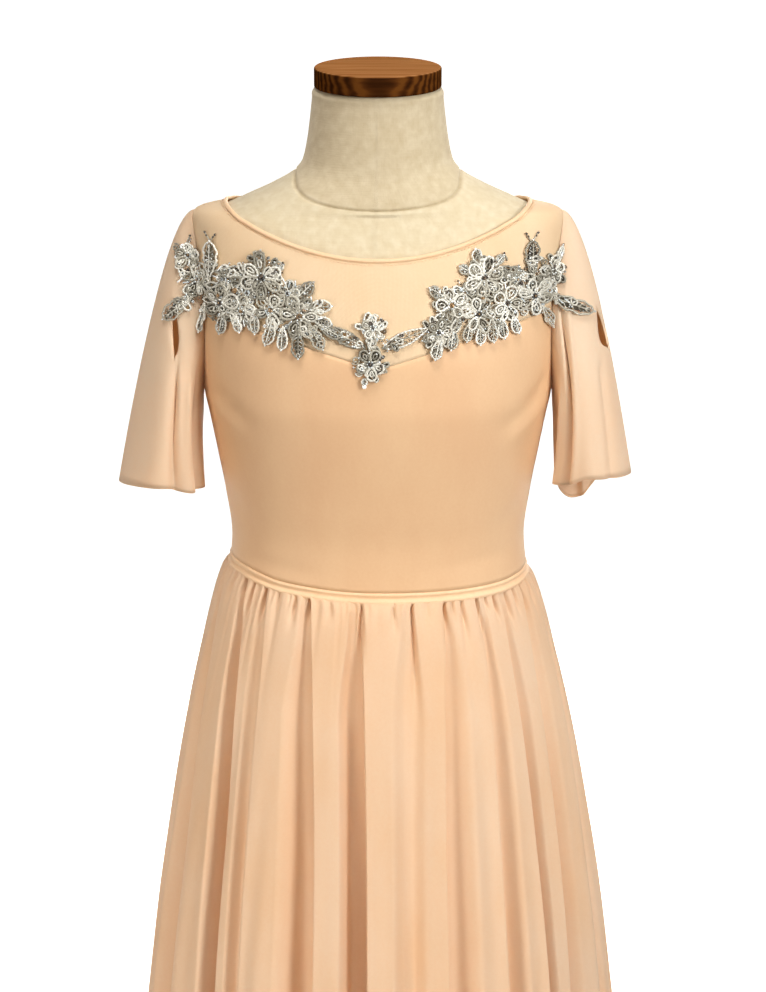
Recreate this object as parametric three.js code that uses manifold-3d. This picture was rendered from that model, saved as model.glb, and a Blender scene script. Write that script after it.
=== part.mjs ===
// Lyrical dance dress on a limbless dress form: a stretch bodice with a sheer yoke, flutter sleeves, a gathered
// chiffon skirt and corded flower appliqués. Millimetres, +Z up, the front faces -Y, the base stands on z = 0.
import * as THREE from 'three';
import { mergeVertices } from 'three/addons/utils/BufferGeometryUtils.js';
import Module from 'manifold-3d';

const wasm = await Module();
wasm.setup();

// ---- cloth ----
const satinWall = 1.2; // bodice and yoke
const sheerWall = 1.0; // sleeves and skirt
const formGap = 1.1; // between the body's levels and the cloth on them
const formEase = 1.6; // how far the form lies inside its levels where the dress covers it
const seamGap = 0.4; // left open where two pieces meet
const seamAngle = 0.14; // the same, in degrees round the body

// ---- form, one row for each level, from the hip cut up to the neck's top ----
// half: half-width. front and back: depth ahead of and behind the side line. square: 2 is an ellipse.
const bodyLevels = [
  { z: 722, half: 157, front: 100, back: 114, square: 2.2 },
  { z: 800, half: 161, front: 103, back: 117, square: 2.2 },
  { z: 880, half: 147, front: 100, back: 103, square: 2.2 },
  { z: 930, half: 135.5, front: 94, back: 90, square: 2.2 },
  { z: 970, half: 128, front: 90, back: 84, square: 2.2 },
  { z: 1000, half: 125.5, front: 91, back: 82, square: 2.2 },
  { z: 1040, half: 130.5, front: 98, back: 84, square: 2.2 },
  { z: 1075, half: 137, front: 105, back: 88, square: 2.2 },
  { z: 1110, half: 143.8, front: 111, back: 92, square: 2.2 },
  { z: 1130, half: 147.8, front: 113, back: 95, square: 2.2 },
  { z: 1165, half: 150, front: 112, back: 98, square: 2.2 },
  { z: 1200, half: 151.5, front: 104, back: 98, square: 2.2 },
  { z: 1235, half: 154, front: 91, back: 92, square: 2.15 },
  { z: 1262, half: 156.5, front: 78, back: 82, square: 2.1 },
  { z: 1275, half: 157, front: 71, back: 74, square: 2.05 },
  { z: 1281, half: 156, front: 67.5, back: 70, square: 2 },
  { z: 1284, half: 152, front: 66, back: 67, square: 2 },
  { z: 1289.5, half: 127.5, front: 63.5, back: 62, square: 2 },
  { z: 1296, half: 113, front: 61, back: 57, square: 2 },
  { z: 1307, half: 89, front: 56.5, back: 50, square: 2 },
  { z: 1317, half: 72, front: 53, back: 46, square: 2 },
  { z: 1327, half: 64, front: 51.5, back: 44, square: 2 },
  { z: 1348, half: 59.5, front: 50, back: 43, square: 2 },
  { z: 1368, half: 57, front: 49, back: 44, square: 2 },
  { z: 1388, half: 55, front: 49, back: 45, square: 2 },
];
const formRings = [
  722, 775, 830, 880, 915, 945, 970, 990, 1015, 1040, 1070, 1100, 1130, 1165, 1200, 1230, 1255, 1270, 1279, 1285, 1290,
  1297, 1307, 1317, 1330, 1358, 1388,
];
const hipCut = 722;
const neckTop = 1388;
const neckTilt = 4; // degrees that the neck's top leans forward
const tiltStart = 1350; // level where that lean begins
const shoulderTop = 1291; // level that the dress reaches at the neck's sides

// ---- garment levels and edges ----
const waist = { low: 964.9, high: 975.1, groove: 2.3, ridge: 3.4, edge: 2.0 };
const sweetheart = { centre: 1170, side: 1197, fullness: 2.2 };
const backEdge = { centre: 1190, side: 1197, fullness: 2 };
const neckFront = 1254;
const neckBack = 1266;
const neckHalf = 127.5; // half-width of the neck opening
const binding = { half: 1.9, rise: 1.4 };
const armhole = { top: 1283, bottom: 1130, depth: 17 }; // depth in degrees, ahead of and behind the side line

// ---- sleeves, the right one drawn and the left one mirrored ----
const sleeveHem = { x: 190, y: -2, halfX: 35.5, halfY: 62 };
const sleeves = {
  left: { hem: 1047, front: -3, back: 8, folds: 5, foldTurn: 0.6, foldDepth: 5 },
  right: { hem: 1052, front: 5, back: 34, folds: 5, foldTurn: 2.1, foldDepth: 5 },
};
const slits = {
  left: { x: 169, y: -60, z: 1166, turn: 0, length: 36, width: 8 },
  right: { x: 172, y: -6, z: 1169, turn: 58, length: 36, width: 9 },
};

// ---- skirt, outer envelope over the fold ridges ----
const skirtLevels = [
  { z: 964.4, half: 136.5, front: 100, back: 94 },
  { z: 945, half: 146, front: 109, back: 101 },
  { z: 901, half: 159.3, front: 122, back: 115 },
  { z: 845, half: 172.6, front: 136, back: 130 },
  { z: 755, half: 188.3, front: 153, back: 148 },
  { z: 663, half: 201.6, front: 168, back: 164 },
  { z: 565, half: 213, front: 182, back: 179 },
  { z: 400, half: 233, front: 204, back: 202 },
];
const skirtHem = 400;
const skirtTop = 964.4;
const gatherEnd = 895; // level where the small gathers have run out
const gatherDepth = 3.2;
const foldDepths = [
  { z: 400, depth: 38 },
  { z: 565, depth: 29 },
  { z: 755, depth: 19 },
  { z: 880, depth: 10 },
  { z: 930, depth: 5 },
  { z: 964.4, depth: 0 },
];
const skirtRows = [skirtTop, 944, 915, 865, 790, 680, 540, skirtHem];
const fineRows = 3; // rows that carry the small gathers
const foldDrift = 4; // power that keeps a trough's drift from top to low near the waist
// Troughs round the skirt. top and low: degrees from centre front at the waist and below. deep: share of the fold
// depth. ridge: height of the ridge that follows, as a share of the envelope. left and right: how much of the cell
// on that side its wall takes, small where the cloth folds over sharply.
const skirtFolds = [
  { top: -90, low: -90, deep: 0.6, ridge: 0.95, left: 0.4, right: 0.4 },
  { top: -75, low: -62, deep: 0.7, ridge: 0.95, left: 0.4, right: 0.16 },
  { top: -57, low: -48, deep: 0.45, ridge: 0.85, left: 0.45, right: 0.2 },
  { top: -44, low: -38.5, deep: 1.0, ridge: 1.0, left: 0.45, right: 0.14 },
  { top: -26, low: -20, deep: 0.9, ridge: 0.95, left: 0.42, right: 0.14 },
  { top: -7, low: -5, deep: 1.0, ridge: 0.95, left: 0.16, right: 0.16 },
  { top: 11, low: 8, deep: 0.4, ridge: 0.9, left: 0.4, right: 0.45 },
  { top: 27, low: 21.5, deep: 0.95, ridge: 1.0, left: 0.16, right: 0.45 },
  { top: 42, low: 38, deep: 0.65, ridge: 0.95, left: 0.16, right: 0.45 },
  { top: 56, low: 51.5, deep: 0.8, ridge: 1.0, left: 0.14, right: 0.42 },
  { top: 76, low: 72, deep: 0.6, ridge: 0.95, left: 0.2, right: 0.42 },
  { top: 90, low: 90, deep: 0.6, ridge: 1.0, left: 0.4, right: 0.4 },
  { top: 107, low: 104, deep: 0.85, ridge: 0.95, left: 0.2, right: 0.42 },
  { top: 121, low: 121, deep: 0.6, ridge: 0.9, left: 0.4, right: 0.18 },
  { top: 137, low: 139, deep: 1.0, ridge: 1.0, left: 0.16, right: 0.4 },
  { top: 152, low: 153, deep: 0.5, ridge: 0.9, left: 0.45, right: 0.4 },
  { top: 167, low: 168, deep: 0.95, ridge: 0.95, left: 0.4, right: 0.15 },
  { top: 184, low: 185, deep: 0.9, ridge: 1.0, left: 0.16, right: 0.16 },
  { top: 199, low: 199, deep: 0.45, ridge: 0.9, left: 0.4, right: 0.4 },
  { top: 213, low: 211, deep: 1.0, ridge: 1.0, left: 0.15, right: 0.45 },
  { top: 230, low: 229, deep: 0.75, ridge: 0.95, left: 0.4, right: 0.16 },
  { top: 243, low: 244, deep: 0.6, ridge: 0.9, left: 0.42, right: 0.2 },
  { top: 256, low: 257, deep: 0.85, ridge: 0.95, left: 0.4, right: 0.4 },
  { top: 270, low: 270, deep: 0.6, ridge: 0.95, left: 0.4, right: 0.4 },
];

// ---- appliqués, drawn on the front plane: x across, z up ----
const applique = { lift: 0.4, thick: 2.0, cell: 11, reach: 2 };
// kind flower: centre, radius, petals. kind leaf: from base to tip, with its width.
const sprayLeft = [
  { kind: 'leaf', x: -156, z: 1214, toX: -182, toZ: 1194, width: 15 },
  { kind: 'flower', x: -157, z: 1243, radius: 12, petals: 5 },
  { kind: 'flower', x: -152, z: 1224, radius: 15, petals: 6 },
  { kind: 'leaf', x: -141, z: 1232, toX: -140, toZ: 1265, width: 14 },
  { kind: 'leaf', x: -140, z: 1258, toX: -147, toZ: 1271, width: 5 },
  { kind: 'leaf', x: -140, z: 1258, toX: -132, toZ: 1269, width: 5 },
  { kind: 'leaf', x: -143, z: 1211, toX: -154, toZ: 1184, width: 8 },
  { kind: 'leaf', x: -138, z: 1236, toX: -102, toZ: 1243, width: 11 },
  { kind: 'flower', x: -130, z: 1214, radius: 15, petals: 5 },
  { kind: 'leaf', x: -128, z: 1208, toX: -131, toZ: 1188, width: 9 },
  { kind: 'flower', x: -112, z: 1208, radius: 14, petals: 6 },
  { kind: 'flower', x: -96, z: 1238, radius: 19, petals: 6 },
  { kind: 'flower', x: -88, z: 1213, radius: 15, petals: 5 },
  { kind: 'leaf', x: -84, z: 1206, toX: -92, toZ: 1184, width: 10 },
  { kind: 'flower', x: -64, z: 1208, radius: 17, petals: 6 },
  { kind: 'leaf', x: -72, z: 1216, toX: -52, toZ: 1236, width: 11 },
  { kind: 'leaf', x: -62, z: 1214, toX: -38, toZ: 1217, width: 10 },
  { kind: 'leaf', x: -65, z: 1200, toX: -65, toZ: 1174, width: 11 },
  { kind: 'leaf', x: -56, z: 1204, toX: -44, toZ: 1182, width: 11 },
  { kind: 'leaf', x: -56, z: 1208, toX: -36, toZ: 1203, width: 7 },
];
const sprayRight = [
  { kind: 'leaf', x: 138, z: 1219, toX: 183, toZ: 1199, width: 13 },
  { kind: 'flower', x: 147, z: 1236, radius: 12, petals: 5 },
  { kind: 'leaf', x: 149, z: 1240, toX: 157, toZ: 1256, width: 7 },
  { kind: 'leaf', x: 129, z: 1234, toX: 129, toZ: 1267, width: 14 },
  { kind: 'leaf', x: 129, z: 1260, toX: 121, toZ: 1272, width: 5 },
  { kind: 'leaf', x: 129, z: 1260, toX: 137, toZ: 1271, width: 5 },
  { kind: 'flower', x: 130, z: 1219, radius: 17, petals: 6 },
  { kind: 'leaf', x: 136, z: 1210, toX: 149, toZ: 1188, width: 8 },
  { kind: 'leaf', x: 126, z: 1238, toX: 100, toZ: 1243, width: 9 },
  { kind: 'flower', x: 107, z: 1216, radius: 15, petals: 5 },
  { kind: 'flower', x: 88, z: 1237, radius: 18, petals: 6 },
  { kind: 'leaf', x: 86, z: 1246, toX: 81, toZ: 1261, width: 9 },
  { kind: 'flower', x: 83, z: 1209, radius: 15, petals: 6 },
  { kind: 'leaf', x: 94, z: 1206, toX: 95, toZ: 1185, width: 9 },
  { kind: 'leaf', x: 112, z: 1206, toX: 116, toZ: 1190, width: 8 },
  { kind: 'flower', x: 61, z: 1217, radius: 15, petals: 5 },
  { kind: 'leaf', x: 58, z: 1222, toX: 42, toZ: 1231, width: 9 },
  { kind: 'flower', x: 50, z: 1195, radius: 12, petals: 5 },
  { kind: 'leaf', x: 51, z: 1192, toX: 47, toZ: 1174, width: 10 },
  { kind: 'leaf', x: 52, z: 1194, toX: 36, toZ: 1190, width: 7 },
];
const centreSpray = [
  { kind: 'leaf', x: -18, z: 1193, toX: -34.5, toZ: 1202, width: 8 },
  { kind: 'leaf', x: -6, z: 1190, toX: -23, toZ: 1194, width: 8 },
  { kind: 'flower', x: -7, z: 1203, radius: 11, petals: 5 },
  { kind: 'leaf', x: -9, z: 1200, toX: -9, toZ: 1172, width: 10 },
  { kind: 'flower', x: -11, z: 1172, radius: 14, petals: 5 },
  { kind: 'leaf', x: -12, z: 1168, toX: -13, toZ: 1152, width: 7 },
  { kind: 'leaf', x: -6, z: 1191, toX: 20, toZ: 1189, width: 9 },
  { kind: 'leaf', x: 15, z: 1189, toX: 34.5, toZ: 1192, width: 8 },
];

// ---- stand ----
const base = { radius: 178, height: 7, round: 2 };
const pole = { radius: 14, foot: 36, footHeight: 8, neck: 30, flange: 30, flangeHeight: 14 };
const cap = { half: 54, height: 17, round: 2, depthShare: 0.93 };
const touch = 0.3; // between stacked hard pieces

const finishes = {
  linen: { color: 0xe9dfc2, roughness: 0.9, metalness: 0 },
  walnut: { color: 0x6b3a1c, roughness: 0.35, metalness: 0 },
  steel: { color: 0x8e8f92, roughness: 0.3, metalness: 1 },
  satin: { color: 0xeec8a0, roughness: 0.55, metalness: 0 },
  mesh: { color: 0xf8d9af, roughness: 0.7, metalness: 0 },
  chiffon: { color: 0xedc6a0, roughness: 0.75, metalness: 0 },
  edging: { color: 0xfac9a0, roughness: 0.6, metalness: 0 },
  silver: { color: 0xb9bdb9, roughness: 0.35, metalness: 0.6 },
};

const rad = THREE.MathUtils.degToRad;
const mix = THREE.MathUtils.lerp;
const vec = (x, y, z) => new THREE.Vector3(x, y, z);
const range = (count, make) => Array.from({ length: count }, (_, i) => make(i));

// ---- tables ----

// Monotone cubic through one column of a table, so that no level overshoots its neighbours.
function curveOf(rows, name) {
  const sorted = [...rows].sort((a, b) => a.z - b.z);
  const z = sorted.map((row) => row.z);
  const y = sorted.map((row) => row[name]);
  const slope = range(z.length - 1, (i) => (y[i + 1] - y[i]) / (z[i + 1] - z[i]));
  const tangent = range(z.length, (i) => {
    const before = slope[Math.max(i - 1, 0)];
    const after = slope[Math.min(i, slope.length - 1)];
    return before * after > 0 ? (2 * before * after) / (before + after) : 0;
  });
  return (level) => {
    const v = THREE.MathUtils.clamp(level, z[0], z[z.length - 1]);
    const i = Math.min(z.filter((k) => k <= v).length - 1, z.length - 2);
    const gap = z[i + 1] - z[i];
    const t = (v - z[i]) / gap;
    const s = 1 - t;
    return (
      s * s * (1 + 2 * t) * y[i] + t * t * (1 + 2 * s) * y[i + 1] + gap * t * s * (s * tangent[i] - t * tangent[i + 1])
    );
  };
}

const body = {
  half: curveOf(bodyLevels, 'half'),
  front: curveOf(bodyLevels, 'front'),
  back: curveOf(bodyLevels, 'back'),
  square: curveOf(bodyLevels, 'square'),
};

// Halves the span from low to high until rising(x) meets target.
function solve(rising, target, low, high) {
  for (let i = 0; i < 40; i += 1) {
    const middle = (low + high) / 2;
    if (rising(middle) < target) low = middle;
    else high = middle;
  }
  return (low + high) / 2;
}

// ---- surfaces ----

// The side of a surface that faces out, from points a little to each side of (u, v).
function outward(surface, u, v, du, dv) {
  const along = surface(u + du, v).sub(surface(u - du, v));
  const up = surface(u, v + dv).sub(surface(u, v - dv));
  return along.cross(up).normalize();
}

// Point on the form at `turn` degrees from centre front towards +X, at level z.
function formPoint(turn, z) {
  const power = 2 / body.square(z);
  const s = Math.sin(rad(turn));
  const c = Math.cos(rad(turn));
  const depth = c > 0 ? body.front(z) : body.back(z);
  const lean = Math.tan(rad(neckTilt)) * Math.max(0, Math.min(1, (z - tiltStart) / (neckTop - tiltStart)));
  const y = -depth * Math.sign(c) * Math.abs(c) ** power;
  return vec(body.half(z) * Math.sign(s) * Math.abs(s) ** power, y, z + y * lean);
}

function onForm(turn, z, off) {
  return formPoint(turn, z).addScaledVector(outward(formPoint, turn, z, 0.6, 0.4), off);
}

// ---- meshes ----

function bodyFrom(points, faces) {
  const geometry = new THREE.BufferGeometry();
  geometry.setAttribute('position', new THREE.Float32BufferAttribute(points, 3));
  let volume = 0;
  const corner = (i) => vec(points[3 * i], points[3 * i + 1], points[3 * i + 2]);
  for (let i = 0; i < faces.length; i += 3) {
    volume += corner(faces[i]).dot(corner(faces[i + 1]).cross(corner(faces[i + 2])));
  }
  geometry.setIndex(volume < 0 ? [...faces].reverse() : faces);
  geometry.computeVertexNormals();
  return geometry;
}

// Closed wall between two sets of rows of points. A row may have half as many cells as the one before it.
// round: each row closes on itself.
function wallBetween(outer, inner, round = false) {
  const points = [];
  const faces = [];
  const number = (rows) => rows.map((row) => row.map((p) => points.push(p.x, p.y, p.z) / 3 - 1));
  const skins = [number(outer), number(inner)];
  const cells = (row) => (round ? row.length : row.length - 1);
  const at = (row, i) => row[i % row.length];
  skins.forEach((rows, side) => {
    const add = (a, b, c) => faces.push(...(side ? [a, c, b] : [a, b, c]));
    rows.slice(1).forEach((next, r) => {
      const row = rows[r];
      const coarse = cells(row) > cells(next);
      for (let i = 0; i < cells(next); i += 1) {
        const [d, c] = [at(next, i), at(next, i + 1)];
        if (coarse) {
          const [f, g, h] = [at(row, 2 * i), at(row, 2 * i + 1), at(row, 2 * i + 2)];
          add(f, g, d);
          add(g, c, d);
          add(g, h, c);
        } else {
          add(at(row, i), at(row, i + 1), c);
          add(at(row, i), c, d);
        }
      }
    });
  });
  const rim = (a, b, c, d) => faces.push(a, b, c, a, c, d);
  const [out, back] = skins;
  const last = out.length - 1;
  for (let i = 0; i < cells(out[0]); i += 1) {
    rim(at(out[0], i + 1), at(out[0], i), at(back[0], i), at(back[0], i + 1));
  }
  for (let i = 0; i < cells(out[last]); i += 1) {
    rim(at(out[last], i), at(out[last], i + 1), at(back[last], i + 1), at(back[last], i));
  }
  for (let r = 0; r < last && !round; r += 1) {
    rim(out[r][0], out[r + 1][0], back[r + 1][0], back[r][0]);
    rim(out[r + 1].at(-1), out[r].at(-1), back[r].at(-1), back[r + 1].at(-1));
  }
  return bodyFrom(points, faces);
}

// Closed band: the same closed section at each stop of a closed path.
function bandThrough(sections) {
  const points = sections.flat().flatMap((p) => [p.x, p.y, p.z]);
  const stops = sections.length;
  const sides = sections[0].length;
  const at = (i, k) => (i % stops) * sides + (k % sides);
  const faces = [];
  for (let i = 0; i < stops; i += 1) {
    for (let k = 0; k < sides; k += 1) {
      faces.push(at(i, k), at(i + 1, k), at(i + 1, k + 1), at(i, k), at(i + 1, k + 1), at(i, k + 1));
    }
  }
  return bodyFrom(points, faces);
}

// Closed solid through stacked rings, with a flat lid at each end.
function solidThrough(rings) {
  const sides = rings[0].length;
  const points = rings.flat().flatMap((p) => [p.x, p.y, p.z]);
  const faces = [];
  for (let r = 0; r < rings.length - 1; r += 1) {
    for (let k = 0; k < sides; k += 1) {
      const [a, b] = [r * sides + k, r * sides + ((k + 1) % sides)];
      faces.push(a, b, b + sides, a, b + sides, a + sides);
    }
  }
  const top = (rings.length - 1) * sides;
  for (let k = 1; k < sides - 1; k += 1) {
    faces.push(0, k + 1, k, top, top + k, top + k + 1);
  }
  return bodyFrom(points, faces);
}

function turned(profile, sides) {
  const outline = profile.map(([r, z]) => new THREE.Vector2(r, z));
  return new THREE.LatheGeometry(outline, sides).rotateX(Math.PI / 2);
}

// ---- manifold-3d, for joining and cutting ----

function toSolid(geometry) {
  const bare = geometry.clone();
  bare.deleteAttribute('normal');
  bare.deleteAttribute('uv');
  const merged = mergeVertices(bare);
  return new wasm.Manifold(
    new wasm.Mesh({
      numProp: 3,
      vertProperties: new Float32Array(merged.attributes.position.array),
      triVerts: new Uint32Array(merged.index.array),
    }),
  );
}

function toGeometry(solid) {
  const mesh = solid.getMesh();
  const geometry = new THREE.BufferGeometry();
  geometry.setAttribute('position', new THREE.BufferAttribute(new Float32Array(mesh.vertProperties), 3));
  geometry.setIndex(new THREE.BufferAttribute(new Uint32Array(mesh.triVerts), 1));
  geometry.computeVertexNormals();
  return geometry;
}

const group = new THREE.Group();

function add(name, geometry, finish) {
  const mesh = new THREE.Mesh(geometry, new THREE.MeshStandardMaterial(finishes[finish]));
  mesh.name = name;
  group.add(mesh);
  return mesh;
}

// ---- stand and form ----

function makeStand() {
  const { radius, height, round } = base;
  const disc = [[0, 0], [radius, 0], [radius, height - round], [radius - round, height], [0, height]];
  add('stand_base', turned(disc, 40), 'steel');
  const foot = height + touch;
  const top = hipCut - touch;
  const shaft = [
    [0, foot],
    [pole.foot, foot],
    [pole.foot, foot + pole.footHeight],
    [pole.radius, foot + pole.neck],
    [pole.radius, top - pole.flangeHeight],
    [pole.flange, top - pole.flangeHeight / 2],
    [pole.flange, top],
    [0, top],
  ];
  add('stand_pole', turned(shaft, 16), 'steel');
}

function makeForm() {
  const around = 30;
  const ease = (z) => (z < shoulderTop ? formEase : 0);
  const rings = formRings.map((z) => range(around, (k) => onForm((k * 360) / around, z, -ease(z))));
  add('form_torso', solidThrough(rings), 'linen');
}

function makeNeckCap() {
  const { half, height, round, depthShare } = cap;
  const disc = [[0, 0], [half - round, 0], [half, round], [half, height - round], [half - round, height], [0, height]];
  const lid = add('neck_cap', turned(disc, 32).scale(1, depthShare, 1), 'walnut');
  const middle = (body.back(neckTop) - body.front(neckTop)) / 2;
  const lean = Math.tan(rad(neckTilt));
  lid.rotation.x = Math.atan(lean);
  lid.position.set(0, middle, neckTop + middle * lean + touch);
}

// ---- bodice and yoke ----

// Where a panel ends round the body at level z: the side seam, or the armhole above the underarm.
function panelEdge(z) {
  const t = THREE.MathUtils.clamp((z - armhole.bottom) / (armhole.top - armhole.bottom), 0, 1);
  return 90 - seamAngle - armhole.depth * Math.sqrt(1 - (2 * t - 1) ** 2);
}

// Level of a top edge that dips at its middle. share runs from -1 at one side to 1 at the other.
function dip(edge, share) {
  return mix(edge.side, edge.centre, (1 - Math.abs(share)) ** edge.fullness);
}

// Neckline level at a share of the way round a panel, `inset` below the neck opening's edge.
function neckline(centre, share, inset) {
  const half = neckHalf + inset;
  const sideLevel = solve((z) => -body.half(z), -half, armhole.top, bodyLevels.at(-1).z);
  const level = (q) => mix(centre - inset, sideLevel, q * q);
  const turn = (q) => {
    const z = level(q);
    const reach = Math.min(1, (half * q) / body.half(z)) ** (body.square(z) / 2);
    return THREE.MathUtils.radToDeg(Math.asin(reach));
  };
  return level(solve((q) => turn(q) / panelEdge(level(q)), Math.abs(share), 0, 1));
}

// Wall of a panel that lies on the form, between two levels that vary round it. middle is 0 in front and 180 behind.
function panelOnForm(lower, upper, middle, columns, rows, crowd) {
  const skin = (off) =>
    range(rows + 1, (r) =>
      range(columns + 1, (c) => {
        const share = (2 * c) / columns - 1;
        const rise = 1 - (1 - r / rows) ** crowd;
        const z = mix(lower(share), upper(share), rise);
        const side = middle === 0 ? 1 : -1;
        return onForm(middle + side * share * panelEdge(z), z, off);
      }),
    );
  return wallBetween(skin(formGap + satinWall), skin(formGap));
}

function makeBodice() {
  const bottom = () => waist.high + seamGap;
  const pieces = [
    { name: 'front', edge: sweetheart, neck: neckFront, middle: 0, columns: 18 },
    { name: 'back', edge: backEdge, neck: neckBack, middle: 180, columns: 14 },
  ];
  for (const { name, edge, neck, middle, columns } of pieces) {
    const top = (share) => dip(edge, share);
    add(`bodice_${name}`, panelOnForm(bottom, top, middle, columns, 9, 1), 'satin');
    const low = (share) => top(share) + seamGap;
    const high = (share) => neckline(neck, share, 2 * binding.half + 2.5 * seamGap);
    add(`yoke_${name}`, panelOnForm(low, high, middle, columns, 7, 1.6), 'mesh');
  }
}

function makeWaistBinding() {
  const around = 40;
  const middle = (waist.low + waist.high) / 2;
  const quarter = (waist.high - waist.low) / 4;
  const section = [
    [waist.low, formGap],
    [waist.low, waist.edge],
    [middle - quarter, waist.ridge],
    [middle, waist.groove],
    [middle + quarter, waist.ridge],
    [waist.high, waist.edge],
    [waist.high, formGap],
  ];
  const ring = (k) => section.map(([z, off]) => onForm((k * 360) / around, z, off));
  add('waist_binding', bandThrough(range(around, ring)), 'edging');
}

function makeNeckBinding() {
  const around = 48;
  const sides = 6;
  const half = neckHalf + binding.half;
  const sideLevel = solve((z) => -body.half(z), -half, armhole.top, bodyLevels.at(-1).z);
  const stop = (i) => {
    const angle = rad((i * 360) / around);
    const q = Math.sin(angle);
    const ahead = Math.cos(angle) >= 0;
    const z = mix((ahead ? neckFront : neckBack) - binding.half, sideLevel, q * q);
    const reach = Math.min(1, (half * Math.abs(q)) / body.half(z)) ** (body.square(z) / 2);
    const turn = Math.sign(q) * THREE.MathUtils.radToDeg(Math.asin(reach));
    const at = ahead ? turn : 180 - turn;
    return { point: onForm(at, z, formGap + binding.rise), up: outward(formPoint, at, z, 0.6, 0.4) };
  };
  const stops = range(around, stop);
  const sections = stops.map(({ point, up }, i) => {
    const ahead = stops[(i + 1) % around].point.clone().sub(stops[(i + around - 1) % around].point);
    const across = ahead.cross(up).normalize();
    return range(sides, (k) => {
      const turn = (2 * Math.PI * k) / sides;
      return point
        .clone()
        .addScaledVector(across, binding.half * Math.cos(turn))
        .addScaledVector(up, binding.rise * Math.sin(turn));
    });
  });
  add('neck_binding', bandThrough(sections), 'edging');
}

// ---- sleeves ----

// Point on the right sleeve. turn: degrees round it, 0 at the top of the shoulder and 90 in front. t: 0 at the
// armhole, 1 at the hem. Each line is a curve that leaves the shoulder outwards and then falls.
function sleevePoint(turn, t, shape) {
  const s = Math.sin(rad(turn));
  const c = Math.cos(rad(turn));
  const high = (1 + c) / 2;
  const middle = (armhole.top + armhole.bottom) / 2;
  const reach = (armhole.top - armhole.bottom) / 2;
  const start = onForm(90 - (armhole.depth - 1) * s, middle + (reach - 1.2) * c - 1.2 * s * s, 1.4 + 0.9 * (1 - high));
  const push = start.clone().add(vec(3 + 20 * high ** 0.8, -16 * s, -2 - 12 * (1 - high) - 18 * s * s));
  const hem = vec(
    sleeveHem.x + sleeveHem.halfX * c,
    sleeveHem.y - sleeveHem.halfY * s,
    shape.hem + shape.front * Math.max(s, 0) - shape.back * Math.max(-s, 0) ** 1.5,
  );
  const point = start.multiplyScalar((1 - t) ** 2);
  point.addScaledVector(push, 2 * t * (1 - t)).addScaledVector(hem, t * t);
  const wave = shape.foldDepth * t * t * Math.cos(shape.folds * rad(turn) + shape.foldTurn);
  const narrow = 0.35 + 0.65 * s * s;
  return point.add(vec(wave * c * narrow, -wave * s, 0));
}

function sleeveSolid(shape) {
  const around = 30;
  const rows = 7;
  const surface = (turn, t) => sleevePoint(turn, t, shape);
  const skin = (depth) =>
    range(rows + 1, (r) =>
      range(around, (k) => {
        const [turn, t] = [(k * 360) / around, (r / rows) ** 1.25];
        return surface(turn, t).addScaledVector(outward(surface, turn, t, 0.5, 0.004), -depth);
      }),
    );
  return toSolid(wallBetween(skin(0), skin(sheerWall), true));
}

// Almond prism that cuts the slit, pointing out of the sleeve.
function slitCutter({ x, y, z, turn, length, width }) {
  const almond = new THREE.Shape();
  almond.moveTo(0, -length / 2);
  almond.quadraticCurveTo(width, 0, 0, length / 2);
  almond.quadraticCurveTo(-width, 0, 0, -length / 2);
  const prism = new THREE.ExtrudeGeometry(almond, { depth: 60, bevelEnabled: false, curveSegments: 5 });
  prism.rotateX(Math.PI / 2);
  prism.rotateZ(rad(turn));
  return toSolid(prism.translate(x, y + (turn === 0 ? 40 : 0), z));
}

function makeSleeves() {
  for (const side of ['left', 'right']) {
    const cut = toGeometry(sleeveSolid(sleeves[side]).subtract(slitCutter(slits[side])));
    if (side === 'left') {
      cut.scale(-1, 1, 1);
      cut.setIndex([...cut.index.array].reverse());
      cut.computeVertexNormals();
    }
    add(`sleeve_${side}`, cut, 'chiffon');
  }
}

// ---- skirt ----

const skirt = {
  half: curveOf(skirtLevels, 'half'),
  front: curveOf(skirtLevels, 'front'),
  back: curveOf(skirtLevels, 'back'),
  depth: curveOf(foldDepths, 'depth'),
};

// Point on the skirt's outside: the envelope, drawn in by the large folds. place: the trough's number, with the
// share of the way to the next one as its fraction. shift: extra degrees round. drawn: extra depth.
function skirtPoint(place, z, shift = 0, drawn = 0) {
  const i = Math.min(Math.floor(place), skirtFolds.length - 2);
  const [fold, next] = [skirtFolds[i], skirtFolds[i + 1]];
  const w = place - i;
  const drift = ((z - skirtHem) / (skirtTop - skirtHem)) ** foldDrift;
  const turn = mix(mix(fold.low, fold.top, drift), mix(next.low, next.top, drift), w) + shift;
  const ease = THREE.MathUtils.smoothstep(w, 0, fold.right) * THREE.MathUtils.smoothstep(1 - w, 0, next.left);
  const trough = w < 0.5 ? fold.deep : next.deep;
  const inward = skirt.depth(z) * mix(trough, 1 - fold.ridge, ease) + drawn;
  const s = Math.sin(rad(turn));
  const c = Math.cos(rad(turn));
  const [a, b] = [skirt.half(z), c > 0 ? skirt.front(z) : skirt.back(z)];
  const facing = vec(s / a, -c / b, 0).normalize();
  return vec(a * s, -b * c, z).addScaledVector(facing, -inward);
}

// Places of a panel's columns: each trough, the head of its wall, the ridge's middle and the next wall's head.
function foldPlaces(from, to) {
  const cells = range(to - from, (k) => {
    const [rise, fall] = [skirtFolds[from + k].right, 1 - skirtFolds[from + k + 1].left];
    return [0, rise, (rise + fall) / 2, fall].map((w) => from + k + w);
  });
  return [...cells.flat(), to];
}

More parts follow.
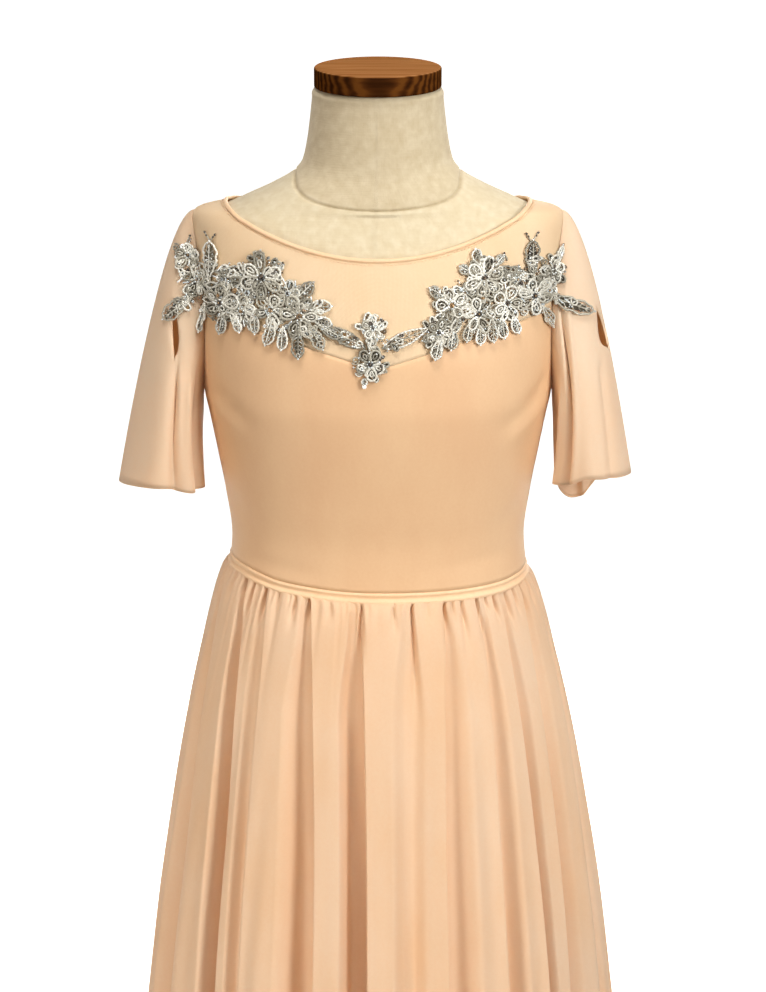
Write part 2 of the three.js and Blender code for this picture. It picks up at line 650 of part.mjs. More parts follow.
// The row's points moved square to the cloth, towards the inside.
function movedIn(row, depth) {
  return row.map((point, k) => {
    const [before, after] = [row[Math.max(k - 1, 0)], row[Math.min(k + 1, row.length - 1)]];
    const next = after === point ? point.clone().sub(before) : after.clone().sub(point);
    const last = before === point ? next.clone() : point.clone().sub(before);
    const along = last.normalize().add(next.normalize()).normalize();
    const mitre = depth / Math.max(along.dot(next), 0.5);
    return point.clone().add(vec(-along.y * mitre, along.x * mitre, 0));
  });
}

function makeSkirt() {
  const side = skirtFolds.findIndex((fold) => fold.top === 90);
  const panels = [
    { name: 'skirt_front', from: 0, to: side },
    { name: 'skirt_back', from: side, to: skirtFolds.length - 1 },
  ];
  for (const { name, from, to } of panels) {
    const places = foldPlaces(from, to);
    const halved = places.flatMap((p, k) => (k ? [(places[k - 1] + p) / 2, p] : [p]));
    const outer = skirtRows.map((z, r) => {
      const fine = r < fineRows;
      const row = fine ? halved : places;
      const gather = gatherDepth * Math.max(0, (z - gatherEnd) / (skirtTop - gatherEnd));
      return row.map((place, k) => {
        const shift = k === 0 ? seamAngle : k === row.length - 1 ? -seamAngle : 0;
        return skirtPoint(place, z, shift, fine && k % 2 === 0 ? gather : 0);
      });
    });
    add(name, wallBetween(outer, outer.map((row) => movedIn(row, sheerWall))), 'chiffon');
  }
}

// ---- appliqués ----

function flowerShape({ x, z, radius, petals }) {
  const shape = new THREE.Shape();
  const each = 5;
  const outline = range(petals * each, (i) => {
    const turn = (2 * Math.PI * i) / (petals * each);
    const r = radius * (0.68 + 0.32 * Math.abs(Math.sin((petals * turn) / 2)) ** 0.8);
    return new THREE.Vector2(x + r * Math.cos(turn), z + r * Math.sin(turn));
  });
  return shape.setFromPoints(outline);
}

function leafShape({ x, z, toX, toZ, width }) {
  const shape = new THREE.Shape();
  const [dx, dz] = [toX - x, toZ - z];
  const length = Math.hypot(dx, dz);
  const [nx, nz] = [(-dz / length) * width, (dx / length) * width];
  const [midX, midZ] = [x + dx * 0.45, z + dz * 0.45];
  shape.moveTo(x, z);
  shape.quadraticCurveTo(midX + nx, midZ + nz, toX, toZ);
  shape.quadraticCurveTo(midX - nx, midZ - nz, x, z);
  return shape;
}

// Prism of one motif, from the side line's plane forward.
function motifSolid(motif) {
  const shape = motif.kind === 'flower' ? flowerShape(motif) : leafShape(motif);
  const prism = new THREE.ExtrudeGeometry(shape, { depth: 160, bevelEnabled: false, curveSegments: 3 });
  return toSolid(prism.rotateX(Math.PI / 2));
}

// How far forward the cloth reaches at (x, z), looking in from the front.
function clothFront(pieces, x, z) {
  const caster = new THREE.Raycaster(vec(x, -300, z), vec(0, 1, 0));
  const hit = caster.intersectObjects(pieces)[0];
  return hit && hit.point.y < 0 ? hit.point.y : 0;
}

// Curved slab over the cloth that the motifs are cut from.
function slabOver(pieces, motifs) {
  const grow = 4;
  const xs = motifs.flatMap((m) => [m.x - (m.radius ?? 0), m.x + (m.radius ?? 0), m.toX ?? m.x]);
  const zs = motifs.flatMap((m) => [m.z - (m.radius ?? 0), m.z + (m.radius ?? 0), m.toZ ?? m.z]);
  const [left, right] = [Math.min(...xs) - grow, Math.max(...xs) + grow];
  const [low, high] = [Math.min(...zs) - grow, Math.max(...zs) + grow];
  const columns = Math.round((right - left) / applique.cell);
  const rows = Math.round((high - low) / applique.cell);
  const near = [-applique.reach, 0, applique.reach];
  const under = range(rows + 1, (r) =>
    range(columns + 1, (c) => {
      const [x, z] = [mix(left, right, c / columns), mix(low, high, r / rows)];
      const forward = near.flatMap((dx) => near.map((dz) => clothFront(pieces, x + dx, z + dz)));
      return vec(x, Math.min(...forward) - applique.lift, z);
    }),
  );
  const over = under.map((row) => row.map((p) => p.clone().add(vec(0, -applique.thick, 0))));
  return toSolid(wallBetween(over, under));
}

function makeAppliques() {
  const sprays = { left: sprayLeft, right: sprayRight, centre: centreSpray };
  const under = (name) => group.getObjectByName(name);
  for (const [side, motifs] of Object.entries(sprays)) {
    const pieces = [under('bodice_front'), under('yoke_front')];
    if (side !== 'centre') pieces.push(under(`sleeve_${side}`));
    const outline = motifs.map(motifSolid).reduce((all, one) => all.add(one));
    add(`applique_${side}`, toGeometry(slabOver(pieces, motifs).intersect(outline)), 'silver');
  }
}

makeStand();
makeForm();
makeNeckCap();
makeBodice();
makeWaistBinding();
makeNeckBinding();
makeSleeves();
makeSkirt();
makeAppliques();

export default group;
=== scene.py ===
import math

import bmesh
import bpy
import numpy as np
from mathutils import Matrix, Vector
from mathutils.bvhtree import BVHTree


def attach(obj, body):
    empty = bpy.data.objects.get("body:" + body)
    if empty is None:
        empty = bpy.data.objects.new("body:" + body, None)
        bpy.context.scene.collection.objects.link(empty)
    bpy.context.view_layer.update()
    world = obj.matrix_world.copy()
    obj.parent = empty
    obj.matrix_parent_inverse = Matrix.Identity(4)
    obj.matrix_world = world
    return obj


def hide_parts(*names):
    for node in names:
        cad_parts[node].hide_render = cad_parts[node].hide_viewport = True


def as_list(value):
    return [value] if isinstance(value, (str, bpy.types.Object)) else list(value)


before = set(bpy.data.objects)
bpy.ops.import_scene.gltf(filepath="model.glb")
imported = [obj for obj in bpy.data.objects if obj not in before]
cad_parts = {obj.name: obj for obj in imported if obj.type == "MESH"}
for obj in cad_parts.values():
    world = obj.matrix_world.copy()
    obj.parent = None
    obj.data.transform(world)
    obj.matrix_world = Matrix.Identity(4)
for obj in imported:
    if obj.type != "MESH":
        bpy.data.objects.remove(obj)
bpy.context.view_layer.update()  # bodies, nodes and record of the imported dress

scene = bpy.context.scene
mm = 0.001  # tables and surfaces are in millimetres, meshes in metres
print("frame loaded:", len(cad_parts), "nodes")


view = {
    "place": (0.0044, -2.6, 1.69),
    "pitchDown": 14.233,  # degrees
    "lens": 111.28,
    "sensor": 36,
}


def makeCamera():
    data = bpy.data.cameras.new("camera")
    data.lens = view["lens"]
    data.sensor_width = view["sensor"]
    camera = bpy.data.objects.new("camera", data)
    camera.location = view["place"]
    camera.rotation_euler = (math.radians(90 - view["pitchDown"]), 0, 0)
    scene.collection.objects.link(camera)
    scene.camera = camera


studio = {
    "world": 0.18,
    "worldColour": (1.0, 0.86, 0.7),
    # name, degrees round from the front towards +X, degrees up, aim's height,
    # distance, size, watts, spread, colour
    "lights": [
        ("keyLight", 44, 20, 1.0, 3.0, 1.0, 58, 180, (1.0, 0.985, 0.96)),
        ("leftFill", -40, 6, 0.8, 3.0, 1.2, 6, 180, (1.0, 0.87, 0.72)),
        ("lowFill", -46, -2, 0.5, 2.6, 1.2, 2.3, 44, (1.0, 0.91, 0.8)),
        ("topLight", 0, 72, 1.0, 3.0, 1.2, 46, 180, (1.0, 0.97, 0.93)),
        ("backLight", 172, 4, 0.8, 3.0, 1.6, 55, 180, (1.0, 0.97, 0.92)),
    ],
    "floorSize": 60.0,
    "floorGlow": 0.9,
    "domeRadius": 42.0,
}


def makeStudio():
    world = bpy.data.worlds.new("studio")
    world.use_nodes = True
    background = world.node_tree.nodes["Background"]
    background.inputs["Color"].default_value = (*studio["worldColour"], 1)
    background.inputs["Strength"].default_value = studio["world"]
    scene.world = world
    for name, around, up, height, away, size, watts, spread, colour in studio["lights"]:
        data = bpy.data.lights.new(name, "AREA")
        data.shape = "DISK"
        data.size = size
        data.energy = watts
        data.color = colour
        data.spread = math.radians(spread)
        light = bpy.data.objects.new(name, data)
        turn, rise = math.radians(around), math.radians(up)
        reach = Vector((math.cos(rise) * math.sin(turn), -math.cos(rise) * math.cos(turn), math.sin(rise)))
        light.location = Vector((0, 0, height)) + away * reach
        light.rotation_euler = (-reach).to_track_quat("-Z", "Y").to_euler()
        scene.collection.objects.link(light)
    # the floor and the dome behind it glow white, and leave the dress its shade
    half = studio["floorSize"] / 2
    mesh = bpy.data.meshes.new("floor")
    corners = [(-half, -half, 0), (half, -half, 0), (half, half, 0), (-half, half, 0)]
    mesh.from_pydata(corners, [], [(0, 1, 2, 3)])
    level, turn = np.radians(np.linspace(-30, 90, 13))[:, None], np.radians(np.arange(24) * 15)
    around, up = np.cos(level) * studio["domeRadius"], np.sin(level) * studio["domeRadius"]
    points = np.stack([around * np.cos(turn), around * np.sin(turn), up + 0 * turn], -1) / mm
    dome = makeMesh("dome", points, [gridFaces(13, 24, True)])
    for name, shape, glow in (("floor", mesh, studio["floorGlow"]), ("dome", dome, 1.0)):
        material, tree = newMaterial(name + "Pale")
        values = {"Base Color": (0.93, 0.93, 0.93, 1), "Roughness": 0.9, "Emission Color": (1, 1, 1, 1)}
        paint(tree, {**values, "Emission Strength": glow})
        shape.materials.append(material)
        backdrop = bpy.data.objects.new(name, shape)
        backdrop.visible_diffuse = False
        backdrop.visible_transmission = False
        backdrop.visible_shadow = name == "floor"
        scene.collection.objects.link(backdrop)
    scene.view_settings.view_transform = "Standard"


def newMaterial(name):
    material = bpy.data.materials.new(name)
    material.use_nodes = True
    material.node_tree.nodes.clear()
    return material, material.node_tree


def addNode(tree, kind, values=None, **settings):
    node = tree.nodes.new(kind)
    for key, value in settings.items():
        setattr(node, key, value)
    for key, value in (values or {}).items():
        socket = node.inputs[key]
        if isinstance(value, bpy.types.NodeSocket):
            tree.links.new(value, socket)
        else:
            socket.default_value = value
    return node


# Links a surface to the material's output.
def show(tree, surface):
    output = tree.nodes.new("ShaderNodeOutputMaterial")
    tree.links.new(surface, output.inputs["Surface"])


def paint(tree, values):
    show(tree, addNode(tree, "ShaderNodeBsdfPrincipled", values).outputs[0])


def mathNode(tree, operation, first, second):
    return addNode(tree, "ShaderNodeMath", {0: first, 1: second}, operation=operation).outputs[0]


# share of the first pattern and the rest of the second
def blended(tree, first, second, share):
    part = mathNode(tree, "MULTIPLY", first, share)
    return mathNode(tree, "ADD", part, mathNode(tree, "MULTIPLY", second, 1 - share))


def shadeOf(tree):
    return addNode(tree, "ShaderNodeAttribute", attribute_name="shade").outputs["Fac"]


# The first colour where the piece's shade is 0, the second where it is 1.
def byShade(tree, first, second):
    values = {0: shadeOf(tree), 6: first, 7: second}
    return addNode(tree, "ShaderNodeMix", values, data_type="RGBA").outputs[2]


def stretched(tree, vector, scale):
    return addNode(tree, "ShaderNodeMapping", {"Vector": vector, "Scale": scale}).outputs[0]


def noiseOf(tree, vector, scale, detail=2.0):
    values = {"Vector": vector, "Scale": scale, "Detail": detail}
    return addNode(tree, "ShaderNodeTexNoise", values).outputs["Fac"]


def rampOf(tree, factor, stops):
    node = addNode(tree, "ShaderNodeValToRGB", {"Fac": factor})
    elements = node.color_ramp.elements
    while len(elements) < len(stops):
        elements.new(0.5)
    for element, (place, colour) in zip(elements, stops):
        element.position = place
        element.color = (*linear(colour), 1)
    return node.outputs["Color"]


# sRGB hex to linear light
def linear(hexColour):
    srgb = np.array([int(hexColour[i : i + 2], 16) for i in (0, 2, 4)]) / 255
    return tuple(np.where(srgb <= 0.04045, srgb / 12.92, ((srgb + 0.055) / 1.055) ** 2.4).tolist())


def bumpOf(tree, height, distance, normal=None):
    values = {"Height": height, "Distance": distance, "Strength": 1.0}
    if normal is not None:
        values["Normal"] = normal
    return addNode(tree, "ShaderNodeBump", values).outputs[0]


# Cloths: the mottled colour's two ends, spacing and height of the threads in metres, roughness, sheen, share
# of light that passes on as glow, share that is open, height of the soft unevenness, colour of the glow
fabrics = {
    "stretchSatin": ("F4CDA2", "EEC398", 0.0006, 0.00005, 0.46, 0.3, 0.0, 0.0, 0.0002, "FFD2A0"),
    "sheerMesh": ("FFE6C2", "FBDDB4", 0.0011, 0.00009, 0.6, 0.25, 0.1, 0.07, 0.0, "FFD2A0"),
    "edgeBinding": ("FEDDB6", "F9D0A6", 0.0007, 0.00006, 0.5, 0.3, 0.0, 0.0, 0.0, "FFD2A0"),
    "chiffon": ("FFE2C2", "FBD6AE", 0.0005, 0.00005, 0.62, 0.4, 0.2, 0.02, 0.0003, "FFD2A0"),
    "sleeveMesh": ("FFEDD2", "FFE5C4", 0.0009, 0.00007, 0.62, 0.3, 0.25, 0.03, 0.0003, "FFCE94"),
    "seamAllowance": ("FFF3E2", "FFEAD2", 0.0009, 0.00005, 0.6, 0.2, 0.1, 0.0, 0.0, "FFD2A0"),
}
# Thread and glass: colours by the shade of each point, roughness, metallic, coat, spacing of a cord's strands
trims = {
    "silverCord": ([(0.0, "6F6B5E"), (0.45, "ADA99B"), (1.0, "E2E1D8")], 0.36, 0.25, 0.0, 0.0016),
    # dark ground of the lace: partly the stitching's own colour, partly painted shade under the cords
    "stitchingAndShade": (
        [(0.0, "2E281D"), (0.4, "4C4534"), (0.8, "7D7562"), (1.0, "A87F42")], 0.6, 0.05, 0.0, 0.0008
    ),
    "beads": (
        [(0.0, "1E1A16"), (0.1, "4A3A26"), (0.22, "8C6A3C"), (0.4, "8F9290"), (0.7, "C8D2D6"),
         (1.0, "F4F6F4")],
        0.16, 0.55, 0.6, 0.0,
    ),
}


# Woven or knitted cloth: threads are the product of two waves on the piece's own map.
def clothMaterial(name):
    light, dark, thread, relief, roughness, sheen, through, clear, crumple, glow = fabrics[name]
    material, tree = newMaterial(name)
    place = addNode(tree, "ShaderNodeTexCoord")
    uv, spot = place.outputs["UV"], place.outputs["Object"]
    mottle = noiseOf(tree, stretched(tree, spot, (1.0, 1.0, 0.4)), 22.0, 3.0)
    fleck = noiseOf(tree, spot, 420.0, 2.0)
    wave = {"Vector": uv, "Scale": 0.314 / thread, "Distortion": 0.6, "Detail": 1.0, "Detail Scale": 0.7}
    threads = [addNode(tree, "ShaderNodeTexWave", wave, bands_direction=way).outputs["Fac"] for way in "XY"]
    normal = bumpOf(tree, mathNode(tree, "MULTIPLY", *threads), relief)
    if crumple:
        soft = noiseOf(tree, stretched(tree, spot, (1.0, 1.0, 0.35)), 55.0, 2.0)
        normal = bumpOf(tree, soft, crumple, normal)
    values = {
        "Base Color": rampOf(tree, blended(tree, mottle, fleck, 0.75), [(0.34, dark), (0.66, light)]),
        "Roughness": roughness,
        "Sheen Weight": sheen,
        "Sheen Roughness": 0.4,
        "Sheen Tint": (1.0, 0.86, 0.68, 1),
        "Specular IOR Level": 0.25,
        "Normal": normal,
    }
    surface = addNode(tree, "ShaderNodeBsdfPrincipled", values).outputs[0]
    if through:
        inner = addNode(tree, "ShaderNodeBsdfTranslucent", {"Color": (*linear(glow), 1), "Normal": normal})
        mixed = {0: through, 1: surface, 2: inner.outputs[0]}
        surface = addNode(tree, "ShaderNodeMixShader", mixed).outputs[0]
    if clear:
        gap = addNode(tree, "ShaderNodeBsdfTransparent")
        mixed = {0: clear, 1: surface, 2: gap.outputs[0]}
        surface = addNode(tree, "ShaderNodeMixShader", mixed).outputs[0]
    show(tree, surface)
    return material


def trimMaterial(name):
    stops, roughness, metallic, coat, twist = trims[name]
    material, tree = newMaterial(name)
    values = {
        "Base Color": rampOf(tree, shadeOf(tree), stops),
        "Roughness": roughness,
        "Metallic": metallic,
        "Coat Weight": coat,
    }
    if twist:
        uv = addNode(tree, "ShaderNodeTexCoord").outputs["UV"]
        wave = {"Vector": uv, "Scale": 0.314 / twist}
        strand = addNode(tree, "ShaderNodeTexWave", wave, bands_direction="DIAGONAL")
        values["Normal"] = bumpOf(tree, strand.outputs["Fac"], 0.00025)
    paint(tree, values)
    return material


# Mesh from a grid or list of points in millimetres and arrays of faces, each with its own count of corners.
def makeMesh(name, points, faces, uv=None, shade=None):
    mesh = bpy.data.meshes.new(name)
    points = points.reshape(-1, 3)
    counts = np.concatenate([np.full(len(part), part.shape[1]) for part in faces])
    corners = np.concatenate([part.ravel() for part in faces]).astype(np.int32)
    mesh.vertices.add(len(points))
    mesh.vertices.foreach_set("co", (points * mm).astype(np.float32).ravel())
    mesh.loops.add(len(corners))
    mesh.loops.foreach_set("vertex_index", corners)
    mesh.polygons.add(len(counts))
    mesh.polygons.foreach_set("loop_start", np.r_[0, np.cumsum(counts)[:-1]].astype(np.int32))
    if uv is not None:
        layer = mesh.uv_layers.new(name="cloth")
        layer.data.foreach_set("uv", uv.reshape(-1, 2)[corners].astype(np.float32).ravel())
    if shade is not None:
        layer = mesh.attributes.new("shade", "FLOAT", "POINT")
        layer.data.foreach_set("value", shade.ravel().astype(np.float32))
    mesh.update(calc_edges=True)
    mesh.validate()
    mesh.shade_smooth()
    return mesh


def addPiece(name, mesh, material, nodes=()):
    piece = bpy.data.objects.new(name, mesh)
    mesh.materials.append(material)
    scene.collection.objects.link(piece)
    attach(piece, "root")
    if nodes:
        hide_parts(*nodes)
    return piece


# Quads of a grid of rows x columns points; closed joins the last column to the first.
def gridFaces(rows, columns, closed=False):
    r, c = np.meshgrid(np.arange(rows - 1), np.arange(columns if closed else columns - 1), indexing="ij")
    right = (c + 1) % columns
    quads = [r * columns + c, r * columns + right, (r + 1) * columns + right, (r + 1) * columns + c]
    return np.stack(quads, -1).reshape(-1, 4)


# Faces of a turned shape: the quads between its rings, and one face over each end.
def turnedFaces(rows, sides):
    end = np.arange(sides)[None]
    return [gridFaces(rows, sides, True), end[:, ::-1], end + (rows - 1) * sides]


# The same faces for each of count copies, where a copy has each points.
def repeated(parts, count, each):
    shift = (np.arange(count) * each)[:, None, None]
    return [(part[None] + shift).reshape(-1, part.shape[1]) for part in parts]


# Metres along the grid's middle row and middle column, as the cloth's own map.
def gridUv(grid):
    rows, columns = grid.shape[:2]
    u, v = travelOf(grid[rows // 2]), travelOf(grid[:, columns // 2])
    return np.stack(np.meshgrid(u, v), -1) * mm


def thicken(piece, wall):
    solid = piece.modifiers.new("wall", "SOLIDIFY")
    solid.thickness = wall * mm
    solid.offset = -1


# The cloth that stands for a node, from the grid of its outside. weld joins its first and last columns.
def clothPiece(node, grid, wall, material, weld=False):
    faces = [gridFaces(*grid.shape[:2])]
    mesh = makeMesh(node + "_cloth", grid, faces, gridUv(grid))
    if weld:
        weldColumn(mesh)
    piece = addPiece(node + "_cloth", mesh, material, [node])
    thicken(piece, wall)
    return piece


# 0 below low, 1 above high, and a cubic ease between.
def smooth(x, low, high):
    t = np.clip((x - low) / (high - low), 0, 1)
    return t * t * (3 - 2 * t)


# 1 at the middle, falling with the square of x over wide.
def bell(x, wide):
    return np.exp(-((x / wide) ** 2))


# Degrees brought between -180 and 180.
def wrapped(degrees):
    return (degrees + 180) % 360 - 180


def sineCosine(degrees):
    return np.sin(np.radians(degrees)), np.cos(np.radians(degrees))


# Angles of count stops round a circle, in radians.
def circle(count):
    return np.arange(count) * 2 * math.pi / count


# Distance travelled along a path, at each of its points.
def travelOf(points):
    return np.r_[0, np.cumsum(np.linalg.norm(np.diff(points, axis=0), axis=1))]


def unit(vectors):
    return vectors / np.maximum(np.linalg.norm(vectors, axis=-1, keepdims=True), 1e-9)


# Tubes along paths (paths, stops, 3) on a surface with the given normals: each stop is a circle or ellipse in
# the plane of the surface's normal and the direction across the path.
def tubePoints(paths, normals, radius, sides, closed, flat=1.0):
    if closed:
        along = np.roll(paths, -1, 1) - np.roll(paths, 1, 1)
    else:
        along = np.gradient(paths, axis=1)
    along = unit(along)
    across = unit(np.cross(along, normals))
    up = np.cross(across, along)
    turn = circle(sides)
    radius = np.broadcast_to(radius, paths.shape[:2])[..., None, None]
    ring = across[:, :, None] * np.cos(turn)[:, None] + up[:, :, None] * np.sin(turn)[:, None] * flat
    return paths[:, :, None] + radius * ring


# Quads of one tube.
def tubeFaces(stops, sides, closed):
    i, k = np.meshgrid(np.arange(stops if closed else stops - 1), np.arange(sides), indexing="ij")
    after, beside = (i + 1) % stops, (k + 1) % sides
    quads = [i * sides + k, after * sides + k, after * sides + beside, i * sides + beside]
    return np.stack(quads, -1).reshape(-1, 4)


# Two unit vectors square to each normal and to each other.
def sideVectors(normals):
    side = unit(np.cross(normals, np.array([0.13, 0.21, 1.0])))
    return side, np.cross(normals, side)


# Rings round each centre. profile: pairs of distance from the normal and height along it, in shares of the
# radius.
def ringPoints(centres, normals, radius, profile, sides):
    side, up = sideVectors(normals)
    turn = circle(sides)
    around = side[:, None, None] * np.cos(turn)[:, None] + up[:, None, None] * np.sin(turn)[:, None]
    wide, high = np.array(profile).T[:, :, None, None]
    offset = around * wide + normals[:, None, None] * high
    return (centres[:, None, None] + radius[:, None, None, None] * offset).reshape(len(centres), -1, 3)


# Parts that become one mesh: each is points, faces, a map and a shade.
class Heap:
    def __init__(self):
        self.points, self.faces, self.maps, self.shades, self.count = [], [], [], [], 0

    def add(self, points, faces, shade, uv=None):
        flat = points.reshape(-1, 3)
        self.points.append(flat)
        self.faces += [part + self.count for part in faces]
        self.maps.append(np.zeros((len(flat), 2)) if uv is None else uv.reshape(-1, 2))
        self.shades.append(np.broadcast_to(shade, len(flat)))
        self.count += len(flat)

    # Points (copies, points of one, 3) with the same faces for each copy.
    def copies(self, points, parts, shade, uv=None):
        count, each = points.shape[:2]
        self.add(points, repeated(parts, count, each), np.repeat(np.broadcast_to(shade, count), each), uv)

    def tubes(self, paths, normals, radius, sides, closed, shade, flat=1.0):
        count, stops = paths.shape[:2]
        parts = [tubeFaces(stops, sides, closed)]
        if not closed:
            end = np.arange(sides)[None]
            parts += [end, end[:, ::-1] + (stops - 1) * sides]
        length = np.linalg.norm(np.diff(paths, axis=1), axis=2)
        u = np.concatenate([np.zeros((count, 1)), np.cumsum(length, 1)], 1) * mm
        v = np.arange(sides) / sides * 0.004
        uv = np.stack(np.broadcast_arrays(u[:, :, None], v[None, None]), -1)
        points = tubePoints(paths, normals, radius, sides, closed, flat).reshape(count, -1, 3)
        self.copies(points, parts, shade, uv)

    # Low round beads: rings of latitude at each centre between two tips, squashed along the normal by flat.
    def beads(self, centres, normals, radius, shade, flat=1.0, sides=7):
        levels = np.radians([-55, 0, 45])
        profile = np.stack([np.cos(levels), np.sin(levels) * flat], 1)
        radius = np.broadcast_to(radius, len(centres))
        rings = ringPoints(centres, normals, radius, profile, sides)
        tip = (radius[:, None] * normals * flat)[:, None]
        points = np.concatenate([rings, centres[:, None] + tip, centres[:, None] - tip], 1)
        k = np.arange(sides)
        after, last, each = (k + 1) % sides, (len(levels) - 1) * sides, points.shape[1]
        top = np.stack([last + k, last + after, np.full(sides, each - 2)], -1)
        bottom = np.stack([after, k, np.full(sides, each - 1)], -1)
        self.copies(points, [gridFaces(len(levels), sides, True), np.concatenate([top, bottom])], shade)

    # Flat round sequins with a small raised rim, tilted about their own centres.
    def sequins(self, centres, normals, radius, shade, sides=10):
        profile = [(0.95, -0.12), (1.0, 0.1), (0.62, 0.02), (0.18, 0.12)]
        radius = np.broadcast_to(radius, len(centres))
        points = ringPoints(centres, normals, radius, profile, sides)
        self.copies(points, turnedFaces(len(profile), sides), shade)

    def mesh(self, name):
        sizes = sorted({part.shape[1] for part in self.faces})
        faces = [np.concatenate([part for part in self.faces if part.shape[1] == size]) for size in sizes]
        points, maps, shades = map(np.concatenate, (self.points, self.maps, self.shades))
        return makeMesh(name, points, faces, maps, shades)


cloth = {
    "satinWall": 1.2,
    "sheerWall": 0.7,
    "yokeWall": 0.8,
    "formGap": 1.1,
    "formEase": 1.6,
    "seamAngle": 0.14,
}

# level, half-width, depth ahead of and behind the side line, power (2 is an ellipse)
bodyLevels = [
    (722, 157, 100, 114, 2.2), (800, 161, 103, 117, 2.2), (880, 147, 100, 103, 2.2),
    (930, 135.5, 94, 90, 2.2), (970, 128, 90, 84, 2.2), (1000, 125.5, 91, 82, 2.2),
    (1040, 130.5, 98, 84, 2.2), (1075, 137, 105, 88, 2.2), (1110, 143.8, 111, 92, 2.2),
    (1130, 147.8, 113, 95, 2.2), (1165, 150, 112, 98, 2.2), (1200, 151.5, 104, 98, 2.2),
    (1235, 154, 91, 92, 2.15), (1262, 156.5, 78, 82, 2.1), (1275, 157, 71, 74, 2.05),
    (1281, 156, 67.5, 70, 2), (1284, 152, 66, 67, 2), (1289.5, 127.5, 63.5, 62, 2),
    (1296, 113, 61, 57, 2), (1307, 89, 56.5, 50, 2), (1317, 72, 53, 46, 2), (1327, 64, 51.5, 44, 2),
    (1348, 59.5, 50, 43, 2), (1368, 57, 49, 44, 2), (1388, 55, 49, 45, 2),
]
neck = {"tilt": 4, "start": 1350, "top": 1388, "shoulder": 1291}


# Monotone cubic through one column of a table, as a function of arrays of levels.
def curveOf(rows, column):
    table = np.array(sorted(rows), float)
    z, y = table[:, 0], table[:, column]
    slope = np.diff(y) / np.diff(z)
    before, after = np.r_[slope[:1], slope], np.r_[slope, slope[-1:]]
    both = before + after
    tangent = np.where(before * after > 0, 2 * before * after / np.where(both == 0, 1, both), 0)

    def at(level):
        v = np.clip(level, z[0], z[-1])
        i = np.clip(np.searchsorted(z, v, side="right") - 1, 0, len(z) - 2)
        gap = z[i + 1] - z[i]
        t = (v - z[i]) / gap
        s = 1 - t
        ends = s * s * (1 + 2 * t) * y[i] + t * t * (1 + 2 * s) * y[i + 1]
        return ends + gap * t * s * (s * tangent[i] - t * tangent[i + 1])

    return at


bodyHalf, bodyFront, bodyBack, bodySquare = (curveOf(bodyLevels, column) for column in (1, 2, 3, 4))


# Point on the form at turn degrees from centre front towards +X: a superellipse at each level, with the
# neck's top leaning forward.
def formPoint(turn, z):
    power = 2 / bodySquare(z)
    s, c = sineCosine(turn)
    depth = np.where(c > 0, bodyFront(z), bodyBack(z))
    risen = np.clip((z - neck["start"]) / (neck["top"] - neck["start"]), 0, 1)
    lean = math.tan(math.radians(neck["tilt"])) * risen
    y = -depth * np.sign(c) * np.abs(c) ** power
    return np.stack([bodyHalf(z) * np.sign(s) * np.abs(s) ** power, y, z + y * lean], -1)


# Unit normal of a surface of (u, v), from points a little to each side.
def outward(surface, u, v, du, dv):
    along = surface(u + du, v) - surface(u - du, v)
    up = surface(u, v + dv) - surface(u, v - dv)
    return unit(np.cross(along, up))


# Point on the form, moved out along its normal by off.
def onForm(turn, z, off):
    turn, z, off = np.broadcast_arrays(np.asarray(turn, float), np.asarray(z, float), np.asarray(off, float))
    return formPoint(turn, z) + outward(formPoint, turn, z, 0.6, 0.4) * off[..., None]


armhole = {"top": 1283, "bottom": 1130, "depth": 17}


# Degrees at which a panel ends at level z: the side seam, or the armhole above the underarm.
def panelEdge(z):
    t = np.clip((z - armhole["bottom"]) / (armhole["top"] - armhole["bottom"]), 0, 1)
    return 90 - cloth["seamAngle"] - armhole["depth"] * np.sqrt(np.clip(1 - (2 * t - 1) ** 2, 0, 1))


waistTop = 975.1  # level where the bodice begins
# The waist seam's rise above its plain level: degrees round, millimetres
waistRises = [
    (-180, 0.5), (-130, 4), (-90, 8), (-66, 6.5), (-50, 2.5), (-40, -0.8), (-28, -3), (-9, -6.2),
    (3, -7), (26, -6.8), (52, -5.8), (65, -4.2), (90, -1.5), (130, 0), (180, 0.5),
]
neckEdge = {
    "front": 1254,
    "back": 1266,
    "half": 127.5,
    "bindingHalf": 1.9,
    "bindingRise": 1.4,
    "stops": 280,
    "sides": 12,
}
bodice = {
    "front": {"centre": 1167, "side": 1205, "fullness": 1.7, "middle": 0, "neck": neckEdge["front"]},
    "back": {"centre": 1190, "side": 1197, "fullness": 2.0, "middle": 180, "neck": neckEdge["back"]},
    "columns": 112,
    "rows": 60,
    "yokeRows": 36,
}
# Soft creases on the bodice: where they start and end (degrees round, level), width and depth in millimetres
bodiceCreases = [
    (66, 1136, 44, 1112, 9, -1.2), (70, 1122, 50, 1098, 8, 0.9), (72, 1150, 58, 1126, 7, -1.0),
    (-66, 1138, -46, 1116, 9, -1.1), (-71, 1124, -52, 1104, 8, 0.8), (-60, 990, -20, 983, 7, -0.5),
    (18, 988, 62, 996, 8, -0.5), (74, 1040, 50, 1018, 12, -0.7), (-76, 1046, -52, 1022, 12, -0.7),
    (112, 1136, 134, 1110, 9, -1.1), (110, 1118, 132, 1092, 8, 0.9),
    (-112, 1138, -134, 1112, 9, -1.1), (150, 1010, 212, 1004, 11, -1.1),
    (146, 1034, 206, 1040, 12, -0.9), (156, 990, 206, 986, 8, 0.7),
]


